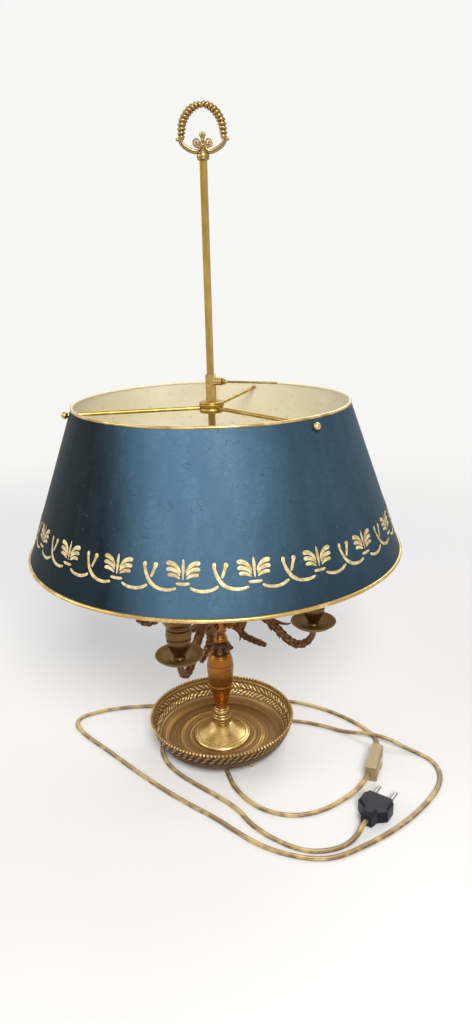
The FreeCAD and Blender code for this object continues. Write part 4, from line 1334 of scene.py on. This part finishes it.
# %% Cut the arrow key
key_axis_z = 431.5
key_tip = 71.7
vane_start = 47.5
vane_length = 23.7
barbs = 12
shaft_line = level_line(np.array([3.1, 12.7, 12.7, 13.6, 15.4, 16.2, 17.4, 18.6, 46.0, 70.4, key_tip]),
                        key_axis_z)
shaft_size = np.array([1.85, 1.85, 2.6, 3.0, 3.0, 2.2, 1.5, 1.2, 1.15, 1.1, 0.5])
shaft = carried("shaft", shaft_line, shaft_size, 24)
vane_rows = np.linspace(vane_start, vane_start + vane_length, 96)[:, None]


def vane(side):
    """A flat vane: its width follows a half arch along the shaft, notched like a saw once per barb,
    and its thickness falls from the quill to the edge, with fine slanting grooves."""
    far = (vane_rows - vane_start) / vane_length
    across = np.linspace(0, 1, 9)[None, :]
    saw = 1 - (far * barbs % 1.0) * 0.16
    width = 3.7 * np.clip(np.sin(math.pi * np.clip(far * 0.78 + 0.10, 0, 1)), 0, 1) ** 0.6 * saw
    y = side * (0.3 + width * across)
    x = vane_rows - across * 2.2 * (1 - far) + 0 * y
    groove = 0.10 * np.sin(2 * math.pi * (far * 2 * barbs + across * 1.1))
    thick = 0.62 * (1 - 0.7 * across) + groove * (across > 0.05)
    upper = np.stack([x, y, key_axis_z + thick], -1)
    lower = np.stack([x, y, key_axis_z - thick], -1)
    grid = np.concatenate([upper, lower[:, ::-1]], 1)
    hollow = np.concatenate([0.5 - groove * 5, (0.5 - groove * 5)[:, ::-1]], 1)
    return skin("vane", grid[:, ::-side], marks={"hollow": hollow[:, ::-side]})


feathered_key = join("feathered_key", [shaft, vane(1), vane(-1)])
seat(feathered_key, "arrow_key", "aged_brass", "arrow_key")
wreath_brass.on(feathered_key)
print("key reaches", key_tip, "mm from the rod")

# %% [markdown]
# ## Switch, plug, feet and fittings
# These keep their solids from the frame, whose shapes are right, and get finishes: satin gold
# moulded plastic on the switch with a slightly paler rocker, black plastic with a fine grain on the
# plug, dull nickel pins, worn brass feet, and plain zinc on the washer, nut, pipe and screws. The
# metals are the brass recipe again with grey colours.

# %% Finish the small parts


def moulded(name, low, high, gloss, grain, coat=0.1, metallic=0.0):
    """Moulded plastic: two close tones by cloudy noise, a fine grain in height, and dull scuffs."""
    finish = Finish(name, metallic=metallic, coat_roughness=0.3)
    cloud = finish.noise(70, detail=3)
    fine = finish.noise(grain, detail=2)
    scuff = finish.noise(260, detail=3, stretch=(1, 0.3, 1)).ramp(0.60, 0.72)
    finish.set(base_color=finish.mix((cloud * 0.75 + fine * 0.25 + scuff * 0.3).clamp(), low, high),
               roughness=gloss + fine * 0.1 + scuff * 0.15, coat_weight=coat)
    finish.relief(fine, 0.25, 0.00012)
    return finish


gold_plastic = moulded("switch_gold", (0.21, 0.15, 0.070), (0.35, 0.265, 0.135), 0.36, 900, metallic=0.35)
rocker_plastic = moulded("rocker_gold", (0.32, 0.23, 0.11), (0.47, 0.36, 0.19), 0.30, 1400, metallic=0.25)
plug_plastic = moulded("plug_black", (0.005, 0.006, 0.010), (0.014, 0.016, 0.026), 0.34, 1100, coat=0.03)
plug_plastic.set(specular_ior_level=0.16)
bushing_plastic = moulded("bushing_plastic", (0.02, 0.018, 0.015), (0.05, 0.045, 0.035), 0.45, 800)
nickel = old_brass("nickel", (0.46, 0.44, 0.40), (0.33, 0.31, 0.28), (0.14, 0.12, 0.10),
                   gloss=0.24, worn=0.6)
zinc = old_brass("zinc_steel", (0.50, 0.50, 0.48), (0.34, 0.33, 0.31), (0.12, 0.10, 0.08),
                 gloss=0.32, worn=0.6)
dressed = {"switch_base": gold_plastic, "switch_cover": gold_plastic, "switch_rocker": rocker_plastic,
           "switch_screws": zinc, "plug_body": plug_plastic, "plug_pins": nickel, "ball_feet": rim_brass,
           "base_washer": zinc, "base_nut": zinc, "lamp_pipe": zinc, "cord_bushing": bushing_plastic}
for node, finish in dressed.items():
    finish.on(bpy.data.objects[node])
print("finished", len(dressed), "small parts")

# %% [markdown]
# ## Studio
# A pale floor under plain light. Far from the lamp the floor fades into the white round it, but
# only for the camera and for reflections; near the lamp it is an ordinary matt floor, so it keeps
# the lamp's shadow.

# %% Floor and backdrop
floor_radius = 6.0
backdrop_white = (0.93, 0.93, 0.92)
floor_grey = (0.80, 0.79, 0.775)
edge = np.linspace(-floor_radius, floor_radius, 5) / mm
floor = skin("studio_floor", np.stack([*np.meshgrid(edge, edge), np.zeros((5, 5))], -1), wrap=False)
matt = Finish("floor_finish", base_color=floor_grey, roughness=0.9, specular_ior_level=0.1)
fade = (matt.radius() / 1000.0).ramp(0.55, 1.7) * matt.seen_by("Camera", "Glossy")
glow = matt.node("ShaderNodeEmission", values={"Color": backdrop_white, "Strength": 1.0})
matt.show(fade, Wire(matt, matt.shader.outputs[0]), glow)
matt.on(floor)

world = bpy.data.worlds.new("studio_world")
world.use_nodes = True
bpy.context.scene.world = world
sky = Nodes(world.node_tree)
even_light = sky.tree.nodes["Background"]
sky.plug(even_light.inputs["Color"], (0.90, 0.93, 1.0))
sky.plug(even_light.inputs["Strength"], 0.42)
backdrop = sky.node("ShaderNodeBackground", values={"Color": backdrop_white})
sky.show(sky.seen_by("Camera", "Glossy", "Transmission"), Wire(sky, even_light.outputs[0]), backdrop)
print("floor", 2 * floor_radius, "m across, world nodes:", len(sky.tree.nodes))

# %% Three soft lights
lamp_middle = Vector((0, 0, 0.3))


def soft_light(name, place, size, power, colour):
    """A square area light, in metres, that points at the middle of the lamp."""
    data = bpy.data.lights.new(name, "AREA")
    data.size = size
    data.energy = power
    data.color = colour
    lamp = bpy.data.objects.new(name, data)
    lamp.location = place
    towards = lamp_middle - lamp.location
    lamp.rotation_euler = towards.to_track_quat("-Z", "Y").to_euler()
    bpy.context.scene.collection.objects.link(lamp)
    return lamp


soft_light("key_light", (0.95, -1.75, 1.75), 0.9, 62, (1.0, 0.98, 0.95))
soft_light("fill_light", (-1.9, -1.0, 1.3), 1.2, 14, (0.92, 0.96, 1.0))
soft_light("back_light", (0.3, 2.0, 1.9), 1.4, 20, (1.0, 0.98, 0.96))
print("lights:", len(bpy.data.lights))
